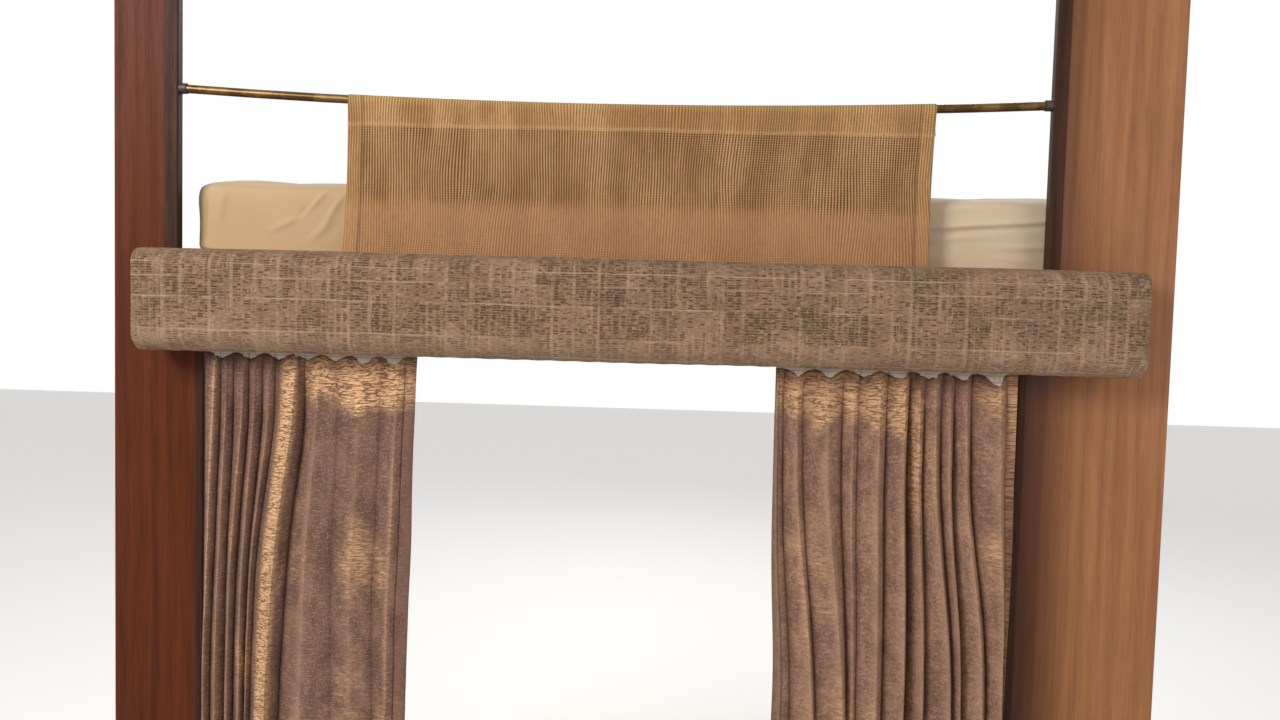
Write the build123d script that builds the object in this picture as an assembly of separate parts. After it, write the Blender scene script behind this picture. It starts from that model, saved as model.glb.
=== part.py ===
from build123d import *
import os
from math import acos, atan, atan2, cos, sin

# Over-cab bunk of a motorhome: a fixed bed platform with its mattress, the padded
# fascia beam across its open side, a guard rail with a net, the stepped bulkhead
# panels that carry the beam, and the two curtains that close the way to the cab.
#
# Millimetres. +X is right and +Y forward, seen from the living space. +Z is up.
# The origin is on the bunk's centre line, in the middle of the underside of the
# rear ledge, the face that rests on the rear edge of the cab roof.

# Vehicle round the bunk
INNER_WIDTH = 1970
FLOOR_BELOW_SEAT = 1470
CEILING_ABOVE_SEAT = 560

# Bed platform
LEDGE_WIDTH = 30
LEDGE_HEIGHT = 45
BOARD_THICKNESS = 12
BOARD_DEPTH = 1400
BOARD_WALL_GAP = 10
BOARD_CORNER_RADIUS = 260
JOIST_COUNT = 3
JOIST_SPACING = 460
AIR_HOLE_RADIUS = 20
AIR_HOLE_COLUMNS = 4
AIR_HOLE_ROWS = 2
AIR_HOLE_SPACING_Y = 560
LEDGE_SCREW_RADIUS = 2.5
SEAT_SCREW_SPACING = 1500
SIDE_SCREW_SPACING = 800

# Mattress
MATTRESS_WIDTH = 1744
MATTRESS_DEPTH = 1385
MATTRESS_THICKNESS = 140
MATTRESS_BACK_RADIUS = 55
MATTRESS_FRONT_RADIUS = 190
MATTRESS_EDGE_RADIUS = 24
MATTRESS_PANEL_GAP = 5

# Bulkhead panels, with the distance of each opening edge from the centre line
PANEL_THICKNESS = 18
UPPER_EDGE_LEFT = 863
UPPER_EDGE_RIGHT = 752
PASSAGE_EDGE_LEFT = 813
PASSAGE_EDGE_RIGHT = 711
STEP_BELOW_BEAM_TOP = 96

# Dark lipping on the panels' opening edges
UPPER_LIPPING_WIDTH = 24
LOWER_LIPPING_WIDTH = 15
LIPPING_PROUD = 2
LIPPING_GROOVE = 6
LIPPING_NOSE_RADIUS = 3

# Padded fascia beam
BEAM_LENGTH = 1810
BEAM_HEIGHT = 192
BEAM_PROUD = 110
BEAM_TOP_ABOVE_BOARD = 3
BEAM_TOP_RADIUS = 26
BEAM_BOTTOM_RADIUS = 38
PAD_FRONT = 32
PAD_TOP = 14
PAD_BOTTOM = 18
PAD_END = 12
PAD_RETURN = 66
PAD_END_RADIUS = 9
CORE_WALL = 12

# Guard rail and its sockets
RAIL_ABOVE_BEAM = 299
RAIL_SAG = 22
RAIL_RADIUS = 8
SOCKET_RADIUS = 10
SOCKET_LENGTH = 13
SOCKET_BASE = 3
SOCKET_PLAY = 0.9
RAIL_END_PLAY = 0.8

# Guard net
NET_WIDTH = 1090
NET_THICKNESS = 1.8
NET_FOOT_BELOW_BEAM_TOP = 40
NET_HEM = 50
SOFT_GAP = 0.3

# Curtain track under the beam
TRACK_BEHIND_PANEL_FACE = 22
TRACK_WIDTH = 14
TRACK_HEIGHT = 10
TRACK_WALL = 1.2
TRACK_SLOT = 4
TRACK_END_GAP = 3
STOP_LENGTH = 6
STOP_PLAY = 0.2

# Gliders and hooks
GLIDER_LENGTH = 7
GLIDER_HEAD_WIDTH = 9.6
GLIDER_HEAD_HEIGHT = 4
GLIDER_NECK = 3
GLIDER_PLAY = 0.3
EYE_WIDTH = 8
EYE_THICKNESS = 2
EYE_HOLE = 5
EYE_RIM = 1.6
HOOK_THICKNESS = 1.8
HOOK_RADIUS = 2.5
HOOK_STEM = 32
HOOK_STUB = 2.5
GLIDERS_BETWEEN = 6

# Curtains
CURTAIN_CLOTH = 3
CURTAIN_HEADING_GAP = 3
CURTAIN_FLOOR_GAP = 22
CURTAIN_FOLD_DEPTH = 17
CURTAIN_EDGE_GAP = 8
LEFT_CURTAIN_WIDTH = 402
RIGHT_CURTAIN_WIDTH = 442

# Levels and planes that follow from the sizes above
FLOOR = -FLOOR_BELOW_SEAT
CEILING = CEILING_ABOVE_SEAT
WALL = INNER_WIDTH / 2
PANEL_FORWARD = -LEDGE_WIDTH / 2
PANEL_FACE = PANEL_FORWARD - PANEL_THICKNESS
PANEL_MID = (PANEL_FORWARD + PANEL_FACE) / 2
BOARD_TOP = LEDGE_HEIGHT + BOARD_THICKNESS
BOARD_FORWARD = PANEL_FORWARD + BOARD_DEPTH
BEAM_TOP = BOARD_TOP + BEAM_TOP_ABOVE_BOARD
BEAM_BOTTOM = BEAM_TOP - BEAM_HEIGHT
BEAM_FRONT = PANEL_FACE - BEAM_PROUD
CORE_TOP = BEAM_TOP - PAD_TOP
CORE_BOTTOM = BEAM_BOTTOM + PAD_BOTTOM
CORE_FRONT = BEAM_FRONT + PAD_FRONT
STEP_LEVEL = BEAM_TOP - STEP_BELOW_BEAM_TOP
RAIL_LEVEL = BEAM_TOP + RAIL_ABOVE_BEAM
TRACK_Y = PANEL_FACE - TRACK_BEHIND_PANEL_FACE
TRACK_BOTTOM = CORE_BOTTOM - TRACK_HEIGHT
TRACK_LEFT = -PASSAGE_EDGE_LEFT + TRACK_END_GAP
TRACK_RIGHT = PASSAGE_EDGE_RIGHT - TRACK_END_GAP
EYE_BOTTOM = TRACK_BOTTOM - EYE_HOLE - 2 * EYE_RIM
CURTAIN_TOP = EYE_BOTTOM - HOOK_STUB - CURTAIN_HEADING_GAP
CURTAIN_BOTTOM = FLOOR + CURTAIN_FLOOR_GAP
CURTAIN_BACK = TRACK_Y + HOOK_RADIUS - HOOK_THICKNESS / 2 - SOFT_GAP


def block(x, y, z):
    """A plain board or timber between pairs of low and high limits."""
    middle = ((x[0] + x[1]) / 2, (y[0] + y[1]) / 2, (z[0] + z[1]) / 2)
    return Pos(*middle) * Box(x[1] - x[0], y[1] - y[0], z[1] - z[0])


def cross_section(outline, low, high):
    """Extrude an outline given as (y, z) along X between two limits."""
    face = Plane.YZ.offset(low) * outline
    return extrude(face, amount=high - low, dir=(1, 0, 0))


parts = {}


# Bed platform: ledges round the edge, joists between them and a plywood board
def screw_holes(timber, places, direction):
    """Drill clearance holes right through a timber at the given places."""
    for place in places:
        drill = Cylinder(LEDGE_SCREW_RADIUS, 4 * LEDGE_HEIGHT)
        timber -= Plane(origin=place, z_dir=direction) * drill
    return timber


board_half = WALL - BOARD_WALL_GAP
front_ledge_half = board_half - BOARD_CORNER_RADIUS
front_ledge_back = BOARD_FORWARD - LEDGE_WIDTH
side_ledge_end = BOARD_FORWARD - BOARD_CORNER_RADIUS

rear_ledge = block((-WALL, WALL), (PANEL_FORWARD, PANEL_FORWARD + LEDGE_WIDTH), (0, LEDGE_HEIGHT))
seat_screws = [(side * SEAT_SCREW_SPACING / 2, 0, 0) for side in (-1, 1)]
parts["ledge_rear"] = screw_holes(rear_ledge, seat_screws, (0, 0, 1))

side_ledge_back = PANEL_FORWARD + LEDGE_WIDTH
side_ledge_middle = (side_ledge_back + side_ledge_end) / 2
for side, name in ((-1, "left"), (1, "right")):
    limits = sorted((side * (WALL - LEDGE_WIDTH), side * WALL))
    ledge = block(limits, (side_ledge_back, side_ledge_end), (0, LEDGE_HEIGHT))
    places = [
        (side * WALL, side_ledge_middle + end * SIDE_SCREW_SPACING / 2, LEDGE_HEIGHT / 2)
        for end in (-1, 1)
    ]
    parts["ledge_" + name] = screw_holes(ledge, places, (1, 0, 0))

parts["ledge_front"] = block(
    (-front_ledge_half, front_ledge_half), (front_ledge_back, BOARD_FORWARD), (0, LEDGE_HEIGHT)
)

for index in range(JOIST_COUNT):
    x = (index - (JOIST_COUNT - 1) / 2) * JOIST_SPACING
    parts["joist_%d" % (index + 1)] = block(
        (x - LEDGE_WIDTH / 2, x + LEDGE_WIDTH / 2),
        (side_ledge_back, front_ledge_back),
        (0, LEDGE_HEIGHT),
    )


def rounded_plan(half, back, forward, back_radius, forward_radius):
    """A bed outline seen from above, with two radii at the back and two at the front."""
    plan = Pos(0, (back + forward) / 2) * Rectangle(2 * half, forward - back)
    corners = plan.vertices().sort_by(Axis.Y)
    if back_radius:
        plan = fillet(corners[:2], back_radius)
        corners = plan.vertices().sort_by(Axis.Y)
    return fillet(corners[-2:], forward_radius)


board_plan = rounded_plan(board_half, PANEL_FORWARD, BOARD_FORWARD, 0, BOARD_CORNER_RADIUS)
hole_middle = (PANEL_FORWARD + BOARD_FORWARD) / 2
holes = GridLocations(JOIST_SPACING, AIR_HOLE_SPACING_Y, AIR_HOLE_COLUMNS, AIR_HOLE_ROWS)
for location in holes:
    board_plan -= Pos(0, hole_middle) * location * Circle(AIR_HOLE_RADIUS)
parts["bunk_board"] = Pos(0, 0, LEDGE_HEIGHT) * extrude(board_plan, BOARD_THICKNESS)

# Mattress, a soft block whose rounded edges stand just behind the panels
mattress_back = PANEL_FORWARD + MATTRESS_PANEL_GAP
mattress_plan = rounded_plan(
    MATTRESS_WIDTH / 2,
    mattress_back,
    mattress_back + MATTRESS_DEPTH,
    MATTRESS_BACK_RADIUS,
    MATTRESS_FRONT_RADIUS,
)
mattress = Pos(0, 0, BOARD_TOP + SOFT_GAP) * extrude(mattress_plan, MATTRESS_THICKNESS)
parts["mattress"] = fillet(mattress.faces().sort_by(Axis.Z)[-1].edges(), MATTRESS_EDGE_RADIUS)


# Bulkhead panels: wider opening over the beam, narrower passage under it
def bulkhead_panel(side, upper_edge, passage_edge):
    """One stepped panel whose opening edges run into the grooves of their lippings."""
    upper = side * (upper_edge + UPPER_LIPPING_WIDTH - LIPPING_GROOVE)
    lower = side * (passage_edge + LOWER_LIPPING_WIDTH - LIPPING_GROOVE)
    outline = Polyline(
        (side * WALL, FLOOR),
        (lower, FLOOR),
        (lower, STEP_LEVEL),
        (upper, STEP_LEVEL),
        (upper, CEILING),
        (side * WALL, CEILING),
        close=True,
    )
    face = Plane.XZ.offset(-PANEL_FACE) * make_face(outline)
    return extrude(face, amount=PANEL_THICKNESS, dir=(0, 1, 0))


def lipping(side, edge, width, low, high):
    """A grooved edge strip with a rounded nose, proud of the panel on both faces."""
    depth = PANEL_THICKNESS + 2 * LIPPING_PROUD
    strip = Rectangle(width, depth)
    nose = strip.vertices().sort_by(Axis.X)[:2] if side > 0 else strip.vertices().sort_by(Axis.X)[-2:]
    strip = fillet(nose, LIPPING_NOSE_RADIUS)
    groove_x = side * (width - LIPPING_GROOVE) / 2
    strip -= Pos(groove_x, 0) * Rectangle(LIPPING_GROOVE, PANEL_THICKNESS)
    middle = side * (edge + width / 2)
    return Pos(middle, PANEL_MID, low) * extrude(strip, high - low)


SIDES = (
    # name, side, upper opening edge, passage edge
    ("left", -1, UPPER_EDGE_LEFT, PASSAGE_EDGE_LEFT),
    ("right", 1, UPPER_EDGE_RIGHT, PASSAGE_EDGE_RIGHT),
)
for name, side, upper_edge, passage_edge in SIDES:
    parts["panel_" + name] = bulkhead_panel(side, upper_edge, passage_edge)
    parts["lipping_upper_" + name] = lipping(side, upper_edge, UPPER_LIPPING_WIDTH, BEAM_TOP, CEILING)
    parts["lipping_lower_" + name] = lipping(side, passage_edge, LOWER_LIPPING_WIDTH, FLOOR, BEAM_BOTTOM)

# Fascia beam: a hollow wooden box across both panels, padded over top, front and foot
core_half = BEAM_LENGTH / 2 - PAD_END
core_outline = make_face(
    Polyline(
        (PANEL_FACE, CORE_BOTTOM),
        (CORE_FRONT, CORE_BOTTOM),
        (CORE_FRONT, CORE_TOP),
        (PANEL_FACE, CORE_TOP),
        close=True,
    )
)
core_middle = ((PANEL_FACE + CORE_FRONT) / 2, (CORE_BOTTOM + CORE_TOP) / 2)
core_hollow = Pos(*core_middle) * Rectangle(
    PANEL_FACE - CORE_FRONT - 2 * CORE_WALL, CORE_TOP - CORE_BOTTOM - 2 * CORE_WALL
)
parts["beam_core"] = cross_section(core_outline - core_hollow, -core_half, core_half)

pad_outline = make_face(
    Polyline(
        (PANEL_FACE, BEAM_TOP),
        (BEAM_FRONT, BEAM_TOP),
        (BEAM_FRONT, BEAM_BOTTOM),
        (BEAM_FRONT + PAD_RETURN, BEAM_BOTTOM),
        (BEAM_FRONT + PAD_RETURN, CORE_BOTTOM),
        (PANEL_FACE, CORE_BOTTOM),
        close=True,
    )
)
front_corners = pad_outline.vertices().sort_by(Axis.X)[:2].sort_by(Axis.Y)
pad_outline = fillet(front_corners[0], BEAM_BOTTOM_RADIUS)
front_top = pad_outline.vertices().filter_by(lambda v: abs(v.X - BEAM_FRONT) < 1).sort_by(Axis.Y)[-1]
pad_outline = fillet(front_top, BEAM_TOP_RADIUS)
pad = cross_section(pad_outline, -BEAM_LENGTH / 2, BEAM_LENGTH / 2)
pad_ends = pad.faces().sort_by(Axis.X)
end_rims = pad_ends[0].edges() + pad_ends[-1].edges()
pad = fillet(end_rims.filter_by(lambda rim: rim.center().Y < PANEL_FACE - 1), PAD_END_RADIUS)
pad -= block((-core_half, core_half), (CORE_FRONT, PANEL_FACE), (CORE_BOTTOM, CORE_TOP))
parts["beam_padding"] = pad

# Guard rail: a thin tube, bowed by its own use, between two sockets on the lippings
rail_left = -UPPER_EDGE_LEFT + SOCKET_BASE + RAIL_END_PLAY
rail_right = UPPER_EDGE_RIGHT - SOCKET_BASE - RAIL_END_PLAY
rail_middle = (rail_left + rail_right) / 2
rail_half = (rail_right - rail_left) / 2
rail_line = ThreePointArc(
    (rail_left, PANEL_MID, RAIL_LEVEL),
    (rail_middle, PANEL_MID, RAIL_LEVEL - RAIL_SAG),
    (rail_right, PANEL_MID, RAIL_LEVEL),
)
bow_radius = (rail_half**2 + RAIL_SAG**2) / (2 * RAIL_SAG)
bow_centre = RAIL_LEVEL - RAIL_SAG + bow_radius


def rail_drop(x):
    """Height of the bowed rail's centre line over a place along the bunk."""
    return bow_centre - (bow_radius**2 - (x - rail_middle) ** 2) ** 0.5


rail_start = Plane(origin=rail_line @ 0, z_dir=rail_line % 0)
parts["guard_rail"] = sweep(rail_start * Circle(RAIL_RADIUS), path=rail_line)

for name, side, upper_edge, passage_edge in SIDES:
    outer = Cylinder(SOCKET_RADIUS, SOCKET_LENGTH)
    bore = Cylinder(RAIL_RADIUS + SOCKET_PLAY, SOCKET_LENGTH - SOCKET_BASE)
    socket = outer - Pos(0, 0, SOCKET_BASE / 2) * bore
    socket = Pos(0, 0, SOCKET_LENGTH / 2) * socket
    seat = Plane(origin=(side * upper_edge, PANEL_MID, RAIL_LEVEL), z_dir=(-side, 0, 0))
    parts["rail_socket_" + name] = seat * socket

# Guard net: folded over the rail, the flap sewn to the front, the foot behind the beam
net_half = NET_WIDTH / 2
net_inner = RAIL_RADIUS + SOFT_GAP
net_outer = net_inner + NET_THICKNESS
net_front = PANEL_FACE + SOFT_GAP - PANEL_MID
net_drop = rail_drop(0) - BEAM_TOP + NET_FOOT_BELOW_BEAM_TOP
net_line = ThreePointArc(
    (-net_half, PANEL_MID, rail_drop(-net_half)),
    (0, PANEL_MID, rail_drop(0)),
    (net_half, PANEL_MID, rail_drop(net_half)),
)


def fold_over(radius, front, seam):
    """Net outline over the rail: up the front, round the top, then tangent down to the seam."""
    reach = (seam[0] ** 2 + seam[1] ** 2) ** 0.5
    angle = atan2(seam[1], seam[0]) + acos(radius / reach)
    leave = (radius * cos(angle), radius * sin(angle))
    over = ThreePointArc((-radius, 0), (0, radius), leave)
    return [Line((front, seam[1]), (-radius, 0)), over, Line(leave, seam)]


net_back = net_front + NET_THICKNESS
net_outline = fold_over(net_outer, net_front, (net_back, -NET_HEM))
net_outline += [
    Line((net_back, -NET_HEM), (net_back, -net_drop)),
    Line((net_back, -net_drop), (net_front, -net_drop)),
    Line((net_front, -net_drop), (net_front, -NET_HEM)),
]
net_seam = (net_front + NET_THICKNESS / 2, 4 * NET_THICKNESS - NET_HEM)
net_pocket = make_face(fold_over(net_inner, net_seam[0], net_seam))
net_start = Plane(origin=net_line @ 0, x_dir=(0, 1, 0), z_dir=net_line % 0)
parts["guard_net"] = sweep(net_start * (make_face(net_outline) - net_pocket), path=net_line)

# Curtain track: a C section screwed under the beam's bare wood, with a stop in each end
track_outer = Rectangle(TRACK_WIDTH, TRACK_HEIGHT)
track_inner = Rectangle(TRACK_WIDTH - 2 * TRACK_WALL, TRACK_HEIGHT - 2 * TRACK_WALL)
track_slot = Pos(0, -TRACK_HEIGHT / 2) * Rectangle(TRACK_SLOT, 3 * TRACK_WALL)
track_section = Pos(TRACK_Y, TRACK_BOTTOM + TRACK_HEIGHT / 2) * (track_outer - track_inner - track_slot)
parts["curtain_track"] = cross_section(track_section, TRACK_LEFT, TRACK_RIGHT)

track_floor = TRACK_BOTTOM + TRACK_WALL
stop_half = TRACK_WIDTH / 2 - TRACK_WALL - STOP_PLAY
for name, side, end in (("left", -1, TRACK_LEFT), ("right", 1, TRACK_RIGHT)):
    plug = block(
        sorted((end, end - side * STOP_LENGTH)),
        (TRACK_Y - stop_half, TRACK_Y + stop_half),
        (track_floor + STOP_PLAY, TRACK_BOTTOM + TRACK_HEIGHT - TRACK_WALL - STOP_PLAY),
    )
    flange = block(
        sorted((end, end + side * TRACK_WALL)),
        (TRACK_Y - TRACK_WIDTH / 2, TRACK_Y + TRACK_WIDTH / 2),
        (TRACK_BOTTOM, TRACK_BOTTOM + TRACK_HEIGHT),
    )
    parts["track_stop_" + name] = plug + flange


# Gliders: a head that runs in the track, a neck through its slot, an eye and a hook
def hook_ring(flat):
    """Eight-sided outline of the hook's bow, its flats a given distance from the middle."""
    return RegularPolygon(flat, 8, major_radius=False, rotation=180 / 8)


def glider(x):
    """A moulded glider with its curtain hook, at a place along the track."""
    head_low = track_floor + GLIDER_PLAY
    eye_middle = EYE_BOTTOM + EYE_RIM + EYE_HOLE / 2
    eye_top = TRACK_BOTTOM - GLIDER_PLAY
    body = block(
        (-GLIDER_LENGTH / 2, GLIDER_LENGTH / 2),
        (-GLIDER_HEAD_WIDTH / 2, GLIDER_HEAD_WIDTH / 2),
        (head_low, head_low + GLIDER_HEAD_HEIGHT),
    )
    neck = Pos(0, 0, (eye_top + head_low) / 2) * Box(GLIDER_NECK, GLIDER_NECK, head_low - eye_top)
    body += neck
    eye = Pos(0, (EYE_BOTTOM + eye_top) / 2) * Rectangle(EYE_WIDTH, eye_top - EYE_BOTTOM)
    eye -= Pos(0, eye_middle) * Rectangle(EYE_HOLE, EYE_HOLE)
    body += extrude(Plane.XZ.offset(-EYE_THICKNESS / 2) * eye, amount=EYE_THICKNESS, dir=(0, -1, 0))
    half = HOOK_THICKNESS / 2
    hook_centre = EYE_BOTTOM + EYE_RIM / 2
    bow = hook_ring(HOOK_RADIUS + half) - hook_ring(HOOK_RADIUS - half)
    bow = Pos(0, hook_centre) * bow
    bow &= Pos(0, hook_centre + HOOK_RADIUS) * Rectangle(4 * HOOK_RADIUS, 2 * HOOK_RADIUS)
    stem = Pos(HOOK_RADIUS, hook_centre - HOOK_STEM / 2) * Rectangle(HOOK_THICKNESS, HOOK_STEM)
    stub = Pos(-HOOK_RADIUS, hook_centre - HOOK_STUB / 2) * Rectangle(HOOK_THICKNESS, HOOK_STUB)
    hook = cross_section(bow + stem + stub, -half, half)
    return Pos(x, TRACK_Y, 0) * (body + hook)


# Curtains: a wavy cloth from its fixed outer hook to its leading edge
CURTAIN_ARCS = 2 * (GLIDERS_BETWEEN + 2) - 1


def curtain(outer, step):
    """A hanging cloth in even folds, each fold an arc of the cloth's own thickness."""
    rise = CURTAIN_FOLD_DEPTH / 2
    half_cloth = CURTAIN_CLOTH / 2
    mid_depth = CURTAIN_BACK - half_cloth - rise
    lean = 2 * atan(rise / abs(step / 2))
    way = 1 if step > 0 else -1
    edges = []
    turns = []
    for index in range(CURTAIN_ARCS + 1):
        slope = 1 if index % 2 == 0 else -1
        turn = Vector(outer + index * step, mid_depth)
        normal = Vector(-slope * way * sin(lean), cos(lean))
        turns.append((turn - normal * half_cloth, turn + normal * half_cloth))
    for index in range(CURTAIN_ARCS):
        crest = mid_depth + rise * (1 if index % 2 == 0 else -1)
        middle = outer + (index + 0.5) * step
        for face, shift in ((0, -half_cloth), (1, half_cloth)):
            edges.append(ThreePointArc(turns[index][face], (middle, crest + shift), turns[index + 1][face]))
    edges.append(Line(*turns[0]))
    edges.append(Line(*turns[-1]))
    outline = make_face(edges)
    return Pos(0, 0, CURTAIN_BOTTOM) * extrude(outline, CURTAIN_TOP - CURTAIN_BOTTOM, dir=(0, 0, 1))


CURTAINS = (
    # name, side, outer edge of the cloth, its width as it hangs
    ("left", -1, -PASSAGE_EDGE_LEFT + CURTAIN_EDGE_GAP, LEFT_CURTAIN_WIDTH),
    ("right", 1, PASSAGE_EDGE_RIGHT - CURTAIN_EDGE_GAP, RIGHT_CURTAIN_WIDTH),
)
for name, side, outer, width in CURTAINS:
    step = -side * width / CURTAIN_ARCS
    parts["curtain_" + name] = curtain(outer, step)
    for index in range(GLIDERS_BETWEEN + 2):
        label = {0: "end", GLIDERS_BETWEEN + 1: "lead"}.get(index, str(index))
        parts["glider_%s_%s" % (name, label)] = glider(outer + (2 * index + 0.5) * step)

os.makedirs("parts", exist_ok=True)
for node, solid in parts.items():
    export_step(solid, "parts/%s.step" % node)
print(len(parts), "nodes")
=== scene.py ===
import math

import bmesh
import bpy
from mathutils import Matrix, Vector, noise


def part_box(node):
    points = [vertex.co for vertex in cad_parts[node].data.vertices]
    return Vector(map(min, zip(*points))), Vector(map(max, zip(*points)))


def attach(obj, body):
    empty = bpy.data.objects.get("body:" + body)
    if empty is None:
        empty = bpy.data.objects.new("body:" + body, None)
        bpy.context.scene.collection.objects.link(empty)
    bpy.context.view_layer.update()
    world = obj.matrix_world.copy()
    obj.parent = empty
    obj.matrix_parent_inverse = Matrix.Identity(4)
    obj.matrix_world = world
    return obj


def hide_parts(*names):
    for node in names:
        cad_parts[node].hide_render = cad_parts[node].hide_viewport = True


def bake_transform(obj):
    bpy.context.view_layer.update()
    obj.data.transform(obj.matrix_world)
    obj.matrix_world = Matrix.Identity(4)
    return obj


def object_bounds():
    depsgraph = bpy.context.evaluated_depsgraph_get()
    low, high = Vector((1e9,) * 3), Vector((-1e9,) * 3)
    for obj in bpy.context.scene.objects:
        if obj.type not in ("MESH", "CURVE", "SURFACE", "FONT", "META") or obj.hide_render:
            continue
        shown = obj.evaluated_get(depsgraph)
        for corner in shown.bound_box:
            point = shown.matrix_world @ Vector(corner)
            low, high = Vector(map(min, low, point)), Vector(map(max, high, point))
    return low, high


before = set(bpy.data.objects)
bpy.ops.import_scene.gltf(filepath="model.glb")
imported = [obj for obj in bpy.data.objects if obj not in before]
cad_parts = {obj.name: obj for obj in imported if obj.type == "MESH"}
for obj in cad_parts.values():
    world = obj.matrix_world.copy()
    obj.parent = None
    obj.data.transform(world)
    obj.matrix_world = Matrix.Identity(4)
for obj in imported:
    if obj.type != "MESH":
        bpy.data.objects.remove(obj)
cad_low, cad_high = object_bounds()

# Studio. The camera stands in the living space, at eye level with the beam, and looks
# forward to the cab as the photograph does. Pale floor, white surround, wide soft lamps.
CAMERA_PLACE = (0.0925, -2.116, 0.0005)
CAMERA_RIGHT = Vector((0.99886, 0.03967, 0.02661))
CAMERA_UP = Vector((-0.02894, 0.05928, 0.99782))
CAMERA_LENS = 31.5
FILM_WIDTH = 36
SURROUND_LIGHT = 0.42
FLOOR_HALF = 12
FLOOR_BELOW_FEET = 0.001
FLOOR_GLOW = 0.30

camera_data = bpy.data.cameras.new("camera")
camera_data.lens = CAMERA_LENS
camera_data.sensor_width = FILM_WIDTH
camera = bpy.data.objects.new("camera", camera_data)
camera_turn = Matrix((CAMERA_RIGHT, CAMERA_UP, CAMERA_RIGHT.cross(CAMERA_UP))).transposed()
camera.matrix_world = Matrix.Translation(CAMERA_PLACE) @ camera_turn.to_4x4()
bpy.context.scene.collection.objects.link(camera)
bpy.context.scene.camera = camera
bpy.context.scene.view_settings.view_transform = "Standard"


def soft_lamp(name, place, aim, width, watts):
    """A square studio lamp that looks at a point of the bunk."""
    data = bpy.data.lights.new(name, "AREA")
    data.size = width
    data.energy = watts
    lamp = bpy.data.objects.new(name, data)
    lamp.location = place
    lamp.rotation_euler = (Vector(aim) - Vector(place)).to_track_quat("-Z", "Y").to_euler()
    bpy.context.scene.collection.objects.link(lamp)


soft_lamp("key_lamp", (-2.3, -2.6, 1.5), (0.0, 0.0, -0.2), 1.2, 112)
soft_lamp("side_lamp", (2.6, -1.8, 0.3), (0.2, 0.0, -0.3), 1.6, 24)
soft_lamp("back_lamp", (0.8, 3.6, 2.4), (0.0, 0.6, 0.0), 2.0, 75)


def feed(node, inputs):
    """Give a node's inputs their numbers and colours, or link them to the sockets that feed them."""
    for key, value in inputs.items():
        if isinstance(value, bpy.types.NodeSocket):
            node.id_data.links.new(value, node.inputs[key])
        else:
            node.inputs[key].default_value = value


def add(tree, kind, inputs=None, **settings):
    """A new shader node, with its settings and what feeds it."""
    node = tree.nodes.new(kind)
    for key, value in settings.items():
        setattr(node, key, value)
    feed(node, inputs or {})
    return node


def tree_of(*values):
    """The node tree of the first value that is a socket and not a plain number or colour."""
    return next(value.id_data for value in values if isinstance(value, bpy.types.NodeSocket))


def calc(operation, first, second=0.0, third=0.0):
    """One step of arithmetic between sockets or numbers."""
    inputs = {0: first, 1: second, 2: third}
    return add(tree_of(first, second), "ShaderNodeMath", inputs, operation=operation).outputs[0]


def times(value, factor, plus=None):
    """A product, with what is then added to it."""
    return calc("MULTIPLY", value, factor) if plus is None else calc("MULTIPLY_ADD", value, factor, plus)


def most(first, *others):
    """The largest of some values."""
    return calc("MAXIMUM", first, most(*others)) if others else first


def new_finish(name):
    """A material and its main shader."""
    finish = bpy.data.materials.new(name)
    finish.use_nodes = True
    return finish, finish.node_tree.nodes["Principled BSDF"]


def finish_piece(name, form, finish, body="bunk", smooth=True, hide=()):
    """Turn a bmesh into a piece that rides on a body and stands for the CAD nodes named."""
    mesh = bpy.data.meshes.new(name)
    form.to_mesh(mesh)
    form.free()
    mesh.materials.append(finish)
    for face in mesh.polygons:
        face.use_smooth = smooth
    piece = bpy.data.objects.new(name, mesh)
    bpy.context.scene.collection.objects.link(piece)
    if body:
        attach(piece, body)
    if hide:
        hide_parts(*hide)
    return piece


world = bpy.data.worlds.new("surround")
bpy.context.scene.world = world
world.use_nodes = True
sky = world.node_tree.nodes["Background"]
rays = add(world.node_tree, "ShaderNodeLightPath").outputs
seen = most(rays["Is Transmission Ray"], rays["Is Glossy Ray"], rays["Is Camera Ray"])
level = add(world.node_tree, "ShaderNodeMapRange", {"Value": seen, "To Min": SURROUND_LIGHT})
feed(sky, {"Color": (1.0, 1.0, 1.0, 1.0), "Strength": level.outputs["Result"]})

floor_form = bmesh.new()
bmesh.ops.create_grid(floor_form, x_segments=2, y_segments=2, size=FLOOR_HALF)
bmesh.ops.translate(floor_form, verts=floor_form.verts, vec=(0, 0, cad_low.z - FLOOR_BELOW_FEET))
floor_paint, shader = new_finish("floor_paint")
floor_seen = add(shader.id_data, "ShaderNodeLightPath").outputs["Is Camera Ray"]
feed(shader, {"Base Color": (0.8, 0.79, 0.77, 1), "Roughness": 0.8, "Emission Color": (1.0, 0.99, 0.97, 1),
              "Emission Strength": times(floor_seen, FLOOR_GLOW)})
studio_floor = finish_piece("floor", floor_form, floor_paint, body=None, smooth=False)


# Bulkhead panels. Two stepped boards of light ply under a printed wood foil, its grain
# upright, screwed to the side walls and the floor. The left one is in a darker red shade.
def between(value, low, high, to_low=0.0, to_high=1.0):
    """Rescale a value smoothly from one span to another and hold it there."""
    inputs = {"Value": value, "From Min": low, "From Max": high, "To Min": to_low, "To Max": to_high}
    return add(value.id_data, "ShaderNodeMapRange", inputs, interpolation_type="SMOOTHSTEP").outputs[0]


def tint(share, under, over, way="MIX"):
    """Lay one colour over another."""
    inputs = {0: share, 6: under, 7: over}
    return add(tree_of(share, under), "ShaderNodeMix", inputs, data_type="RGBA", blend_type=way).outputs[2]


def mapped(vector, **change):
    """A vector turned or drawn out."""
    return add(vector.id_data, "ShaderNodeMapping", {"Vector": vector, **change}).outputs[0]


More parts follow.
